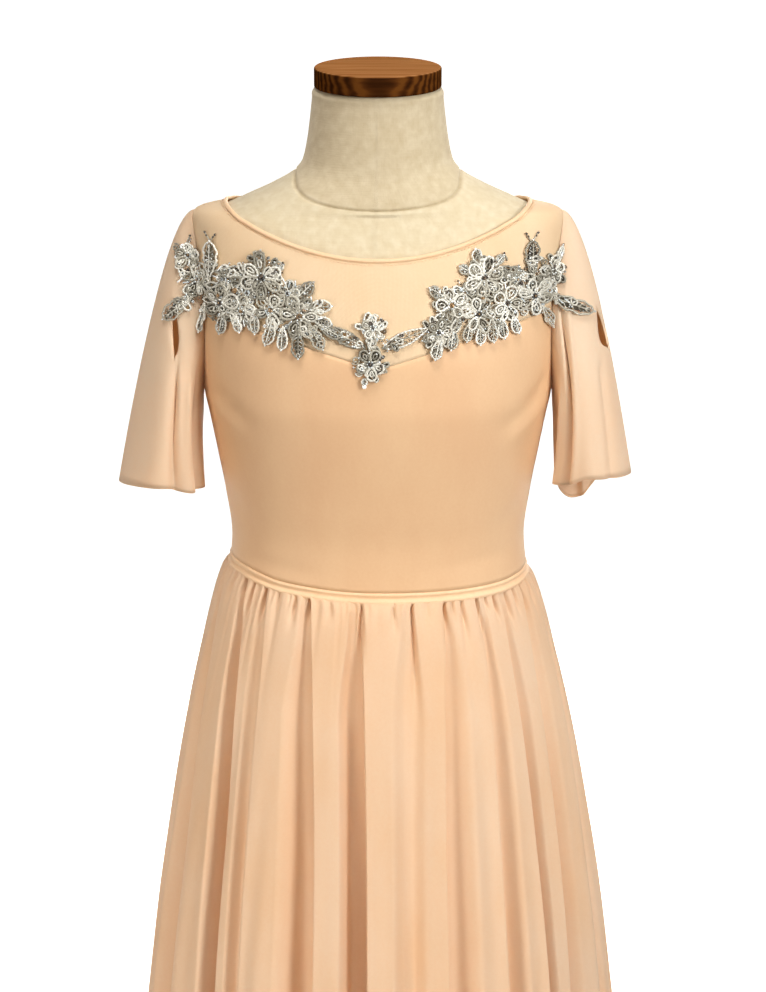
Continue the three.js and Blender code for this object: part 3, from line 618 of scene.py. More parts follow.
# Height of the creases at (turn, z): each is a bell across a straight line, fading at both ends.
def creaseHeight(turn, z, rows):
    total = np.zeros(np.broadcast(turn, z).shape)
    reach = 2.1  # millimetres a degree round the body
    turn = wrapped(turn)
    for a, za, b, zb, wide, deep in rows:
        middle = (a + b) / 2
        near = wrapped(turn - middle) + middle
        dx, dz = (b - a) * reach, zb - za
        length = math.hypot(dx, dz)
        x, y = (near - a) * reach, z - za
        along = (x * dx + y * dz) / length**2
        across = (x * dz - y * dx) / length
        fade = smooth(along, -0.25, 0.3) * smooth(1 - along, -0.25, 0.3)
        total += 1.5 * deep * fade * bell(across, wide)
    return total


def seamRise(turn):
    return curveOf(waistRises, 1)(wrapped(turn))


# An edge's level at a share of the way to its side: it falls from the side to the centre by a power.
def dip(edge, share):
    return edge["side"] + (edge["centre"] - edge["side"]) * (1 - np.abs(share)) ** edge["fullness"]


# Where a rising function meets each target, by halving the range.
def solve(rising, target, low, high):
    low, high = np.full(np.shape(target), float(low)), np.full(np.shape(target), float(high))
    for _ in range(40):
        middle = (low + high) / 2
        below = rising(middle) < target
        low, high = np.where(below, middle, low), np.where(below, high, middle)
    return (low + high) / 2


# Two functions of q, the share of the neck opening's half-width: the level of its edge, a parabola from the
# centre to the side and inset below the opening, and the degrees round the form that it has reached there.
def neckRim(centre, inset):
    half = neckEdge["half"] + inset
    side = solve(lambda z: -bodyHalf(z), np.array(-half), armhole["top"], bodyLevels[-1][0])

    def level(q):
        return centre - inset + (side - centre + inset) * q * q

    def turn(q):
        z = level(q)
        reach = np.minimum(1, half * np.abs(q) / bodyHalf(z)) ** (bodySquare(z) / 2)
        return np.degrees(np.arcsin(reach))

    return level, turn


# Neckline level at a share of the way round a panel.
def neckline(centre, share, inset):
    level, turn = neckRim(centre, inset)
    return level(solve(lambda q: turn(q) / panelEdge(level(q)), np.abs(share), 0, 1))


# Turn and level at stops round the neck opening.
def neckStops(count, inset):
    angle = circle(count)
    q, ahead = np.sin(angle), np.cos(angle) >= 0
    level, reached = neckRim(np.where(ahead, neckEdge["front"], neckEdge["back"]), inset)
    turn = np.sign(q) * reached(q)
    return np.where(ahead, turn, 180 - turn), level(q)


# Grid of points of a panel on the form between two levels that vary round it.
def panelGrid(lower, upper, middle, columns, rows, crowd, off, creases=()):
    share = np.linspace(-1, 1, columns + 1)[None]
    rise = 1 - (1 - np.linspace(0, 1, rows + 1)[:, None]) ** crowd
    low, high = lower(share), upper(share)
    z = low + (high - low) * rise
    side = 1 if middle == 0 else -1
    turn = middle + side * share * panelEdge(z)
    if side < 0:
        turn, z = turn[:, ::-1], z[:, ::-1]
    return onForm(turn, z, off + creaseHeight(turn, z, creases))


def makeBodiceSide(side, satin, mesh):
    edge = bodice[side]
    way = 1 if side == "front" else -1
    off = cloth["formGap"] + cloth["satinWall"]

    def bottom(share):
        return waistTop + 0.2 + seamRise(edge["middle"] + way * share * panelEdge(waistTop))

    def top(share):
        return dip(edge, share)

    def high(share):
        return neckline(edge["neck"], share, 2 * neckEdge["bindingHalf"] - 1.2)

    sizes = edge["middle"], bodice["columns"]
    grid = panelGrid(bottom, top, *sizes, bodice["rows"], 1, off, bodiceCreases)
    lower = clothPiece("bodice_" + side, grid, cloth["satinWall"], satin)
    grid = panelGrid(top, high, *sizes, bodice["yokeRows"], 1.25, off - 0.1)
    return lower, clothPiece("yoke_" + side, grid, cloth["yokeWall"], mesh)


def makeBodice():
    satin, mesh = clothMaterial("stretchSatin"), clothMaterial("sheerMesh")
    pieces = [*makeBodiceSide("front", satin, mesh), *makeBodiceSide("back", satin, mesh)]
    print("bodice and yoke made")
    return pieces


waistBand = {
    "stops": 300,
    # level, height off the body: two soft cords with a groove between
    "section": [
        (965.3, 1.0), (965.0, 2.4), (965.5, 3.4), (966.5, 4.0), (967.7, 4.0), (968.8, 3.3),
        (969.7, 2.2), (970.8, 1.7), (971.7, 2.0), (972.4, 2.9), (973.2, 3.3), (974.1, 3.0),
        (975.2, 2.0), (976.2, 0.5),
    ],
    "wobble": 0.2,
}


def makeWaistBand(material):
    turn = np.arange(waistBand["stops"]) * 360 / waistBand["stops"]
    section = np.array(waistBand["section"])
    ripple = waistBand["wobble"] * np.sin(np.radians(turn * 61)) * np.sin(np.radians(turn * 17 + 40))
    wave = np.where(section[None, :, 1] > 2.1, ripple[:, None], 0)
    level = section[None, :, 0] + wave * 0.6 + seamRise(turn)[:, None]
    points = onForm(turn[:, None], level, section[None, :, 1] + wave)
    rows, sides = points.shape[:2]
    faces = tubeFaces(rows, sides, True)[:, ::-1]
    uv = np.stack(np.meshgrid(travelOf(points[:, 3]), section[:, 0] - 960, indexing="ij"), -1) * mm
    mesh = makeMesh("waist_binding_cloth", points, [faces], uv)
    return addPiece("waist_binding_cloth", mesh, material, ["waist_binding"])


def makeNeckBinding(material):
    stops, sides = neckEdge["stops"], neckEdge["sides"]
    turn, z = neckStops(stops, neckEdge["bindingHalf"])
    normals = outward(formPoint, turn, z, 0.6, 0.4)
    wave = 0.12 * np.sin(np.arange(stops) * 0.9) + 0.1 * np.sin(np.arange(stops) * 0.37)
    paths = onForm(turn, z, cloth["formGap"] + neckEdge["bindingRise"] + wave)[None]
    points = tubePoints(paths, normals[None], neckEdge["bindingHalf"], sides, True, 0.78)
    uv = np.stack(np.meshgrid(travelOf(paths[0]), np.arange(sides), indexing="ij"), -1) * mm
    faces = tubeFaces(stops, sides, True)[:, ::-1]
    mesh = makeMesh("neck_binding_cloth", points, [faces], uv)
    return addPiece("neck_binding_cloth", mesh, material, ["neck_binding"])


sleeves = {
    "left": {
        "hem": 1048,
        "hemX": 186,
        "halfX": 37.5,
        "front": 5,
        "back": 8,
        "tail": (240, 40, 0),
        "inner": -6,
        "slit": {"turn": 66, "slant": 110, "start": 0.415, "end": 0.55, "half": 11, "skew": 0.62},
        # turn at the hem, its change along the sleeve, half-width in degrees, depth, shares of the length
        # at which it starts and is full, sharper side
        "folds": [
            (116, 75, 9, 8.0, 0.48, 0.7, 1), (130, 42, 6, -3.5, 0.35, 0.6, 0),
            (148, 40, 9, 8.0, 0.2, 0.6, -1), (60, 40, 22, 2.5, 0.45, 1.0, 0),
            (20, 0, 18, -2.0, 0.5, 1.0, 0), (185, 0, 12, 5.0, 0.4, 0.9, 0),
            (218, 0, 12, 8.0, 0.35, 0.8, 0), (252, 0, 11, 7.0, 0.4, 0.9, 1),
            (290, 0, 12, 8.0, 0.4, 0.85, 0), (326, 0, 12, 4.0, 0.5, 1.0, 0),
        ],
    },
    "right": {
        "hem": 1054,
        "hemX": 184.5,
        "halfX": 35.5,
        "front": 8,
        "back": 8,
        "tail": (252, 40, 31),  # turn, half-width in degrees, drop
        "inner": -8,
        "slit": {"turn": 27, "slant": -60, "start": 0.545, "end": 0.7, "half": 12, "skew": 1.7},
        "folds": [
            (134, 62, 6, 12.0, 0.12, 0.45, 1), (119, 62, 5, -2.5, 0.12, 0.4, 0),
            (152, 50, 7, -3.0, 0.3, 0.6, 0), (166, 30, 8, 7.0, 0.3, 0.75, 0),
            (66, 60, 6, 2.6, 0.66, 0.72, 0), (88, 30, 24, -2.5, 0.4, 1.0, 0),
            (188, 0, 12, 6.0, 0.35, 0.9, 0), (212, 0, 9, 4.0, 0.35, 0.8, 0),
            (268, 0, 12, 6.0, 0.4, 0.85, -1), (300, 0, 14, 7.0, 0.4, 0.9, 0),
            (332, 0, 12, 4.0, 0.5, 1.0, 0),
        ],
    },
    "hemY": -2,
    "halfY": 61,
    "around": 216,
    "rows": 64,
    "crowd": 1.1,  # rows crowd towards the armhole
}


# Point on the right sleeve: a quadratic curve from the armhole loop, through a point pushed out and down, to
# the hem ring, with the folds' bells taken off it. turn is 0 at the top of the shoulder, 90 in front.
def sleevePoint(turn, t, shape):
    turn, t = np.broadcast_arrays(np.asarray(turn, float), np.asarray(t, float))
    s, c = sineCosine(turn)
    high = (1 + c) / 2
    middle = (armhole["top"] + armhole["bottom"]) / 2
    reach = (armhole["top"] - armhole["bottom"]) / 2
    level = middle + (reach - 1.2) * c - 1.2 * s * s
    start = onForm(90 - (armhole["depth"] - 1) * s, level, 1.4 + 0.9 * (1 - high))
    push = start + np.stack([4 + 21 * high**0.8, -16 * s, -2 - 12 * (1 - high) - 18 * s * s], -1)
    inner = shape["inner"] * smooth(c, -0.1, -0.75) * (s > -0.2)
    level = shape["hem"] + shape["front"] * np.maximum(s, 0) + inner
    level = level - shape["back"] * np.maximum(-s, 0) ** 1.5
    at, half, drop = shape["tail"]
    level = level - drop * bell(turn % 360 - at, half)
    hem = np.stack([shape["hemX"] + shape["halfX"] * c, sleeves["hemY"] - sleeves["halfY"] * s, level], -1)
    t3 = t[..., None]
    point = start * (1 - t3) ** 2 + push * 2 * t3 * (1 - t3) + hem * t3 * t3
    inward = np.zeros(turn.shape)
    for at, slant, half, deep, begin, full, sharp in shape["folds"]:
        gap = wrapped(turn - at + slant * (1 - t))
        wide = np.where(gap * sharp > 0, half * 0.5, half) * (0.7 + 0.5 * t)
        inward = inward + deep * smooth(t, begin, full) * bell(gap, wide)
    out = unit(np.stack([c / shape["halfX"], -s / sleeves["halfY"], 0 * c], -1))
    return point - out * inward[..., None]


# Normal of the sleeve.
def sleeveOut(turn, t, shape):
    return outward(lambda u, v: sleevePoint(u, v, shape), turn, t, 0.8, -0.01)


# The sleeve's grid opens along one column: both copies of that column part in an almond, and the cloth beside
# it gives way less and less with distance.
def sleeveGrid(shape):
    around, rows = sleeves["around"], sleeves["rows"]
    slit = shape["slit"]
    t = (np.linspace(0, 1, rows + 1)[::-1] ** sleeves["crowd"])[:, None]
    middle = (slit["start"] + slit["end"]) / 2
    spread = np.linspace(0, 360, around + 1)[None]
    turn = slit["turn"] + spread + slit["slant"] * np.clip(t - middle, -0.2, 0.2)
    along = np.clip((t - slit["start"]) / (slit["end"] - slit["start"]), 0, 1)
    gape = slit["half"] * np.sin(math.pi * along ** slit["skew"]) ** 0.8
    part = gape * (np.exp(-spread / 24) - np.exp(-(360 - spread) / 24))
    curl = 1.6 * np.sin(math.pi * along) * (np.exp(-spread / 8) + np.exp(-(360 - spread) / 8))
    points = sleevePoint(turn + part, t, shape)
    out = sleeveOut(turn + part, np.clip(t, 0.01, 0.99) + 0 * turn, shape)
    return points + out * curl[..., None]


# The light strip where the seam allowance backs the sleeve's head, and the ridge of the seam beside it.
allowance = {"from": 3, "to": 50, "wide": 0.1, "off": 1.0}


def makeAllowances(material):
    heap = Heap()
    turn = np.linspace(allowance["from"], allowance["to"], 40)[None]
    for side, mirror in (("left", -1), ("right", 1)):
        shape = sleeves[side]
        t = 0.012 + allowance["wide"] * np.linspace(0, 1, 8)[:, None] * (1.1 - 0.006 * turn)
        base = sleevePoint(turn + 0 * t, t, shape)
        out = sleeveOut(turn + 0 * t, t, shape)
        lift = allowance["off"] * np.sin(math.pi * np.linspace(0.04, 0.96, 8))[:, None] ** 0.4
        grid = (base + out * lift[..., None]) * np.array([mirror, 1, 1])
        grid = grid[::-1] if mirror > 0 else grid
        heap.add(grid, [gridFaces(8, 40)], 0.5, gridUv(grid))
    thicken(addPiece("sleeve_allowances", heap.mesh("sleeve_allowances"), material), 0.3)


def makeSleeves(material):
    pieces, rolled = [], Heap()
    for side in ("left", "right"):
        shape = sleeves[side]
        grid = sleeveGrid(shape)
        if side == "left":
            grid = grid[:, ::-1] * np.array([-1, 1, 1])
        pieces.append(clothPiece("sleeve_" + side, grid, cloth["sheerWall"], material, True))
        hem = grid[0, :-1][None]
        normals = unit((grid[0, :-1] - grid[0, :-1].mean(0)) * np.array([1, 1, 0]))[None]
        rolled.tubes(hem, normals, 0.75, 6, True, 0.5)
        slit = shape["slit"]
        t = np.linspace(0, 1, len(grid))[::-1] ** sleeves["crowd"]
        slitRows = (t > slit["start"] - 0.012) & (t < slit["end"] + 0.012)
        for edge in (grid[slitRows, 0], grid[slitRows, -1]):
            rolled.tubes(edge[None], unit(np.gradient(grid, axis=1)[slitRows, 0])[None], 0.65, 6, False, 0.5)
    print("sleeves made")
    return pieces, rolled


# Merges doubled points, so that the column where the sleeve's grid closes is whole but for its slit.
def weldColumn(mesh):
    work = bmesh.new()
    work.from_mesh(mesh)
    bmesh.ops.remove_doubles(work, verts=work.verts, dist=1e-5)
    work.to_mesh(mesh)
    work.free()
    mesh.update()
    mesh.shade_smooth()


skirtTop, skirtHem = 964.4, 400
# level, half-width, depth ahead of and behind the side line, of the envelope over the ridges
skirtLevels = [
    (964.4, 136.5, 100, 94), (945, 143.6, 107, 100), (901, 155.6, 119.5, 113),
    (845, 169.8, 134, 128), (755, 187.2, 152, 147), (663, 201.6, 168, 164), (565, 213, 182, 179),
    (400, 233, 204, 202),
]
foldDepths = [(400, 40), (565, 32), (755, 23), (880, 13.5), (930, 8), (964.4, 2.6)]
# Troughs: degrees at the waist and below, share of the depth, height of the ridge after it, share of the cell
# that its left and right walls take, and share of each wall that stays flat at its foot
skirtFolds = [
    (-90, -90, 0.6, 0.95, 0.4, 0.4, 0.3, 0.3), (-75, -62, 0.8, 0.95, 0.42, 0.16, 0.35, 0.1),
    (-57, -45, 1.05, 0.85, 0.32, 0.24, 0.55, 0.1), (-44.5, -38.3, 0.5, 1.0, 0.5, 0.2, 0.25, 0.1),
    (-25.5, -16.4, 0.95, 1.0, 0.46, 0.12, 0.35, 0.1), (-7, -3.2, 1.0, 0.95, 0.46, 0.14, 0.62, 0.2),
    (11, 8, 0.45, 0.9, 0.4, 0.45, 0.2, 0.2), (25.5, 18.2, 0.62, 1.0, 0.16, 0.5, 0.1, 0.25),
    (40.5, 34.3, 0.55, 1.0, 0.14, 0.5, 0.1, 0.25), (50, 46.9, 0.6, 0.95, 0.14, 0.42, 0.1, 0.3),
    (66, 55, 0.55, 1.0, 0.2, 0.42, 0.1, 0.3), (83, 71.5, 0.55, 0.95, 0.2, 0.42, 0.1, 0.3),
    (90, 90, 0.6, 1.0, 0.4, 0.4, 0.3, 0.3), (107, 104, 0.85, 0.95, 0.2, 0.42, 0.1, 0.3),
    (121, 121, 0.6, 0.9, 0.4, 0.18, 0.3, 0.1), (137, 139, 1.0, 1.0, 0.16, 0.4, 0.1, 0.35),
    (152, 153, 0.5, 0.9, 0.45, 0.4, 0.3, 0.3), (167, 168, 0.95, 0.95, 0.4, 0.15, 0.4, 0.1),
    (184, 185, 0.9, 1.0, 0.36, 0.16, 0.5, 0.2), (199, 199, 0.45, 0.9, 0.4, 0.4, 0.2, 0.2),
    (213, 211, 1.0, 1.0, 0.15, 0.45, 0.1, 0.35), (230, 229, 0.75, 0.95, 0.4, 0.16, 0.3, 0.1),
    (243, 244, 0.6, 0.9, 0.42, 0.2, 0.3, 0.1), (256, 257, 0.85, 0.95, 0.4, 0.4, 0.3, 0.3),
    (270, 270, 0.6, 0.95, 0.4, 0.4, 0.3, 0.3),
]
skirt = {
    "drift": 4,  # power that keeps a trough's drift from the waist angle near the waist
    "wallColumns": 15,
    "ridgeColumns": 24,
    "rows": 66,
    "crowd": 2.0,  # rows crowd towards the waist
    "tuck": 3.4,  # how far the cloth runs up behind the band
    "puff": 6,  # drop over which it swells out from the band
    "narrow": 0.42,  # share of their width that the troughs have at the waist
    "opened": 100,  # drop at which they are full
    "overlap": 0.45,  # how far a sharp wall's head leans over its trough, in wall widths
    "gathers": 104,
    "gatherDepth": 2.1,
    "seed": 7,
}
# Deep nips under the band: degrees round, depth and length in millimetres
nips = [
    (-58, 4, 16), (-52, 5, 26), (-45.4, 7, 24), (-39, 4, 14), (-31.2, 6, 16), (-25.5, 6.5, 18),
    (-17, 3, 10), (-5.7, 7, 30), (5.7, 5, 16), (12.3, 6, 74), (18, 3, 10), (24.7, 6, 22),
    (28, 3, 10), (32, 6, 26), (38.7, 8, 24), (43, 4, 10), (47, 6, 16), (54.3, 6.5, 22),
    (59.6, 5, 16), (-66, 5, 18), (-78, 5, 26), (66, 5, 22), (73, 4, 14), (84, 5, 20), (100, 6, 24),
    (109, 4, 14), (118, 6, 18), (131, 7, 34), (139, 4, 14), (146, 5, 16), (160, 7, 36),
    (167, 4, 12), (173, 6, 18), (188, 8, 30), (196, 4, 12), (203, 5, 16), (216, 7, 34),
    (222, 4, 12), (229, 6, 20), (244, 6, 24), (251, 4, 14), (258, 6, 18),
]
skirtHalf, skirtFront, skirtBack = (curveOf(skirtLevels, column) for column in (1, 2, 3))
foldDepth = curveOf(foldDepths, 1)


# Sum of the small gathers at (turn, z): bells of uneven width, depth and length, fading below the band.
def gatherDepths(turn, z):
    draw = np.random.default_rng(skirt["seed"])
    count = skirt["gathers"]
    step = 360 / count
    centres = -90 + step * (np.arange(count) + draw.uniform(-0.36, 0.36, count))
    wide = step * draw.uniform(0.17, 0.34, count)
    deep = skirt["gatherDepth"] * draw.uniform(0.35, 1.3, count)
    long = 8 + 44 * draw.uniform(0, 1, count) ** 2
    drop = skirtTop - z
    total = np.zeros(np.broadcast(turn, z).shape)
    for at, half, depth, length in zip(centres, wide, deep, long):
        gap = wrapped(turn - at)
        total += depth * bell(gap, half) * np.exp(-((drop / length) ** 1.4))
    for at, depth, length in nips:
        gap = wrapped(turn - at)
        half = 0.52 + 0.7 * np.clip(drop / length, 0, 1.6) ** 1.4
        total += 1.35 * depth * bell(gap, half) * bell(drop, length) * smooth(drop, -6, 3)
    return total


# Slow unevenness of the hanging cloth: sums of long waves round and down.
def slack(turn, z):
    a, d = np.radians(turn), (skirtTop - z) / 100
    ripple = np.sin(23 * a + 0.8 * d) * 0.7 + np.sin(37 * a - 0.5 * d + 1.3) * 0.55
    ripple += np.sin(51 * a + 0.9 * d + 4.0) * 0.35
    return ripple * smooth(skirtTop - z, 10, 260) * 1.3


# Point on the skirt's outside: the envelope drawn in by the folds, with each sharp wall's head leaning over
# its trough, and swelling out from behind the band. place is the trough's number with the share of the way
# to the next.
def skirtPoint(place, z):
    folds = np.array(skirtFolds, float)
    i = np.clip(np.floor(place).astype(int), 0, len(folds) - 2)
    fold, after = folds[i], folds[i + 1]
    w = place - i
    drop = skirtTop - z
    level = np.minimum(z, skirtTop)
    drift = ((level - skirtHem) / (skirtTop - skirtHem)) ** skirt["drift"]
    here = fold[..., 1] + (fold[..., 0] - fold[..., 1]) * drift
    there = after[..., 1] + (after[..., 0] - after[..., 1]) * drift
    rise, fall = fold[..., 5], after[..., 4]
    # walls start beyond a flat floor, and are narrow at the waist
    ease = smooth(w, fold[..., 7] * rise, rise) * smooth(1 - w, after[..., 6] * fall, fall)
    width = skirt["narrow"] + (1 - skirt["narrow"]) * smooth(drop, 0, skirt["opened"])
    riseNow, fallNow = rise * width, fall * width
    between = riseNow + (w - rise) / np.maximum(1 - rise - fall, 0.01) * (1 - riseNow - fallNow)
    spot = np.where(w < rise, w * width, np.where(w > 1 - fall, 1 - (1 - w) * width, between))
    trough = np.where(w < 0.5, fold[..., 2], after[..., 2])
    depth = foldDepth(level)
    inward = depth * (trough * (1 - ease) + (1 - fold[..., 3]) * ease)
    # a sharp wall's head stands a little proud and leans over
    sharpRise, sharpFall = smooth(0.3, rise, rise + 0.12), smooth(0.3, fall, fall + 0.12)
    headRise = bell(w - rise, np.where(w < rise, rise * 0.5, 0.12)) * sharpRise
    headFall = bell(1 - w - fall, np.where(1 - w < fall, fall * 0.5, 0.12)) * sharpFall
    lean = skirt["overlap"] * smooth(depth, 2, 16)
    cell = there - here
    turn = here + cell * (spot - headRise * riseNow * lean + headFall * fallNow * lean)
    inward = inward - 0.04 * depth * (headRise * fold[..., 2] + headFall * after[..., 2])
    inward = inward + gatherDepths(turn, level) + slack(turn, level) * (0.25 + 0.75 * ease)
    s, c = sineCosine(turn)
    a, b = skirtHalf(level), np.where(c > 0, skirtFront(level), skirtBack(level))
    facing = unit(np.stack([s / a, -c / b, 0 * s], -1))
    outer = np.stack([a * s, -b * c, z + 0 * s], -1) - facing * inward[..., None]
    start = onForm(turn, np.clip(z, 950, 970), 2.3)
    swell = np.clip((drop + skirt["tuck"]) / (skirt["puff"] + skirt["tuck"]), 0, 1)
    blend = np.sqrt(1 - (1 - swell) ** 2)[..., None] * np.ones_like(outer)
    point = start * (1 - blend) + outer * blend
    point[..., 2] = z + seamRise(turn) * smooth(-drop, -150, 0)
    return point


# Places of a panel's columns: crowded on each trough's walls, with the ends just short of the side seams.
def skirtPlaces(first, last):
    places = []
    for k in range(first, last):
        rise, fall = skirtFolds[k][5], 1 - skirtFolds[k + 1][4]
        walls, ridge = skirt["wallColumns"], skirt["ridgeColumns"]
        marks = [np.linspace(0, rise, walls), np.linspace(rise, fall, ridge), np.linspace(fall, 1, walls)]
        places.append(k + np.concatenate([marks[0][:-1], marks[1][:-1], marks[2][:-1]]))
    ends = 0.004
    row = np.concatenate(places + [[last - ends]])
    row[0] += ends
    return row


def makeSkirt(material):
    side = [fold[0] for fold in skirtFolds].index(90)
    down = np.linspace(1, 0, skirt["rows"] + 1) ** skirt["crowd"]
    start = skirtTop + skirt["tuck"]
    z = (start - (start - skirtHem) * down)[:, None]
    pieces, rolled = [], Heap()
    for node, first, last in (("skirt_front", 0, side), ("skirt_back", side, len(skirtFolds) - 1)):
        place = skirtPlaces(first, last)[None]
        grid = skirtPoint(place + 0 * z, z + 0 * place)
        sway = 2.5 * np.sin(place * 2.1) + 1.5 * np.sin(place * 5.3 + 1)
        grid[..., 2] += sway * smooth(skirtTop - z, 300, 560)
        pieces.append(clothPiece(node, grid, cloth["sheerWall"], material))
        hem = grid[0][None]
        rolled.tubes(hem, unit(hem * np.array([1, 1, 0])), 0.9, 6, False, 0.5)
    print("skirt made")
    return pieces, rolled


linen = {
    "around": 180,
    "seamDepth": 1.7,
    "seamHalf": 1.0,
    "seamRow": 1300,  # the grid's row that is bent to follow the seam
    # darker colour along the seam line: partly the seam's own dark line, partly painted shade in its groove
    "seamLineAndShade": 0.6,
    # painted shade: the whole neck above the seam is coloured darker
    "neckPaintedShade": 0.28,
}
# Levels of the seam between the neck and the shoulders
neckSeam = {"front": 1291.5, "side": 1318, "back": 1316}


# The linen lies on the form, a little inside it under the dress, with a groove along the neck's seam, whose
# level goes with the square of the cosine of turn, a fine one down the back, and a lip under the cap.
def makeForm(material):
    above = [np.arange(1240, 1296, 2), np.arange(1296, 1304, 0.5), np.arange(1304, 1388, 2), [1388]]
    level = np.concatenate([np.arange(722, 1240, 11)] + above)[:, None].astype(float)
    turn = (np.arange(linen["around"]) * 360 / linen["around"])[None]
    s, c = sineCosine(turn)
    middle = np.where(c > 0, neckSeam["front"], neckSeam["back"])
    seam = neckSeam["side"] + (middle - neckSeam["side"]) * c * c
    z = level + (seam - linen["seamRow"]) * smooth(level, 1235, 1292) * (1 - smooth(level, 1308, 1385))
    line = bell(z - seam, linen["seamHalf"])
    groove = linen["seamDepth"] * line
    # shade picks the darker linen: painted shade over the neck above the seam, and along the seam partly its
    # own dark line and partly painted shade in the groove
    shade = np.maximum(linen["seamLineAndShade"] * line, linen["neckPaintedShade"] * smooth(z - seam, -1, 3))
    lip = 0.5 * bell(z - 1383, 2.2) - 1.6 * smooth(z, 1384.5, 1388)
    backSeam = 0.35 * bell(turn - 180, 0.6)
    ease = np.where(z < neck["shoulder"] - 3, cloth["formEase"], 0) + 0 * turn
    shell = onForm(turn + 0 * z, z, lip - groove - backSeam - ease)
    uv = np.stack(np.broadcast_arrays(turn / 360 * 0.42, (z - 722) * mm), -1)
    mesh = makeMesh("form_linen", shell, turnedFaces(*shell.shape[:2]), uv, shade)
    return addPiece("form_linen", mesh, material, ["form_torso"])


def linenMaterial():
    material, tree = newMaterial("linen")
    place = addNode(tree, "ShaderNodeTexCoord")
    uv, spot = place.outputs["UV"], place.outputs["Object"]
    warp = noiseOf(tree, stretched(tree, uv, (900.0, 60.0, 1.0)), 1.0, 2.0)
    weft = noiseOf(tree, stretched(tree, uv, (60.0, 900.0, 1.0)), 1.0, 2.0)
    threads = blended(tree, warp, weft, 0.5)
    blotch = noiseOf(tree, spot, 130.0, 5.0)
    blend = blended(tree, threads, blotch, 0.22)
    unshadedLinen = rampOf(tree, blend, [(0.3, "D7C7A4"), (0.5, "DDCFAF"), (0.66, "E3D7BA")])
    # the darker ramp is painted shade over the neck, and along the seam partly its own dark line and partly
    # painted shade, mixed in where the shade attribute rises
    seamLineAndPaintedShade = rampOf(tree, blend, [(0.3, "967F5C"), (0.5, "A5906C"), (0.66, "B39F7C")])
    values = {
        "Base Color": byShade(tree, unshadedLinen, seamLineAndPaintedShade),
        "Roughness": 0.85,
        "Sheen Weight": 0.2,
        "Normal": bumpOf(tree, threads, 0.0003, bumpOf(tree, blotch, 0.0005)),
    }
    paint(tree, values)
    return material


cap = {"half": 54, "height": 17, "depthShare": 0.93, "around": 128, "edge": 1.6}


# A turned disc with rounded edges on the neck's leaning top. Its side is coloured darker than its top, as
# painted shade on the side and painted light on the top, so each ring has a shade.
def makeCap():
    lean = math.tan(math.radians(neck["tilt"]))
    slope = math.atan(lean)
    middle = (bodyBack(neck["top"]) - bodyFront(neck["top"])) / 2
    edge, half, height = cap["edge"], cap["half"], cap["height"]
    corner = np.radians(np.linspace(0, 90, 6))
    low = [(half - edge + edge * math.sin(a), edge - edge * math.cos(a)) for a in corner]
    high = [(half - edge + edge * math.cos(a), height - edge + edge * math.sin(a)) for a in corner]
    face = [(half * share, height + 0.25 * (1 - share)) for share in (0.93, 0.8, 0.6, 0.35, 0.12)]
    profile = np.array([(0.12 * half, 0), (0.8 * half, 0)] + low + high + face)
    turn = circle(cap["around"])
    r, h = profile[:, 0][:, None], profile[:, 1][:, None]
    x, y = r * np.cos(turn), r * np.sin(turn) * cap["depthShare"]
    level = neck["top"] + middle * lean + 0.3 + y * math.sin(slope) + h * math.cos(slope)
    points = np.stack([x, middle + y * math.cos(slope) - h * math.sin(slope), level], -1)
    # shade 1 on the top's rings gives them the painted light of the lit top, 0 on the side's rings their
    # painted shade
    shade = np.repeat(smooth(profile[:, 1], height - 0.9, height - 0.1), cap["around"])
    mesh = makeMesh("neck_cap_wood", points, turnedFaces(*points.shape[:2]), None, shade)
    addPiece("neck_cap_wood", mesh, walnutMaterial(), ["neck_cap"])


def walnutMaterial():
    material, tree = newMaterial("walnut")
    place = addNode(tree, "ShaderNodeTexCoord").outputs["Object"]
    grain = noiseOf(tree, stretched(tree, place, (14.0, 150.0, 150.0)), 1.0, 6.0)
    long = stretched(tree, place, (6.0, 60.0, 60.0))
    wave = {"Vector": long, "Scale": 1.0, "Distortion": 5.0, "Detail": 3.0}
    figure = addNode(tree, "ShaderNodeTexWave", wave, bands_direction="Y").outputs["Fac"]
    blend = blended(tree, grain, figure, 0.6)
    # the side's ramp is darkened as painted shade and the top's lightened as painted light, over the same
    # grain
    side = rampOf(tree, blend, [(0.3, "341B0A"), (0.5, "4E2B11"), (0.7, "693E18")])
    top = rampOf(tree, blend, [(0.3, "8F5C31"), (0.5, "A56E40"), (0.7, "BA8250")])
    values = {
        "Base Color": byShade(tree, side, top),
        "Roughness": 0.42,
        "Specular IOR Level": 0.0,
        "Normal": bumpOf(tree, grain, 0.00012),
    }
    paint(tree, values)
    return material


# Radius and height pairs of the turned metal parts
turned = {
    "around": 96,
    "stand_base": [
        (0.5, 0.0), (177, 0.0), (178, 0.8), (178, 5.2), (177.4, 6.3), (176, 7.0), (60, 7.0),
        (0.5, 7.0),
    ],
    "stand_pole": [
        (0.5, 7.3), (34.5, 7.3), (36, 8.6), (36, 13.6), (34.6, 15.2), (27, 18.5), (18.5, 26.0),
        (15.2, 32.5), (14, 38.0), (14, 240.0), (14, 480.0), (14, 700.0), (14.8, 707.0), (18, 711.5),
        (29, 714.0), (30, 715.2), (30, 721.0), (29.2, 721.6), (0.5, 721.6),
    ],
}


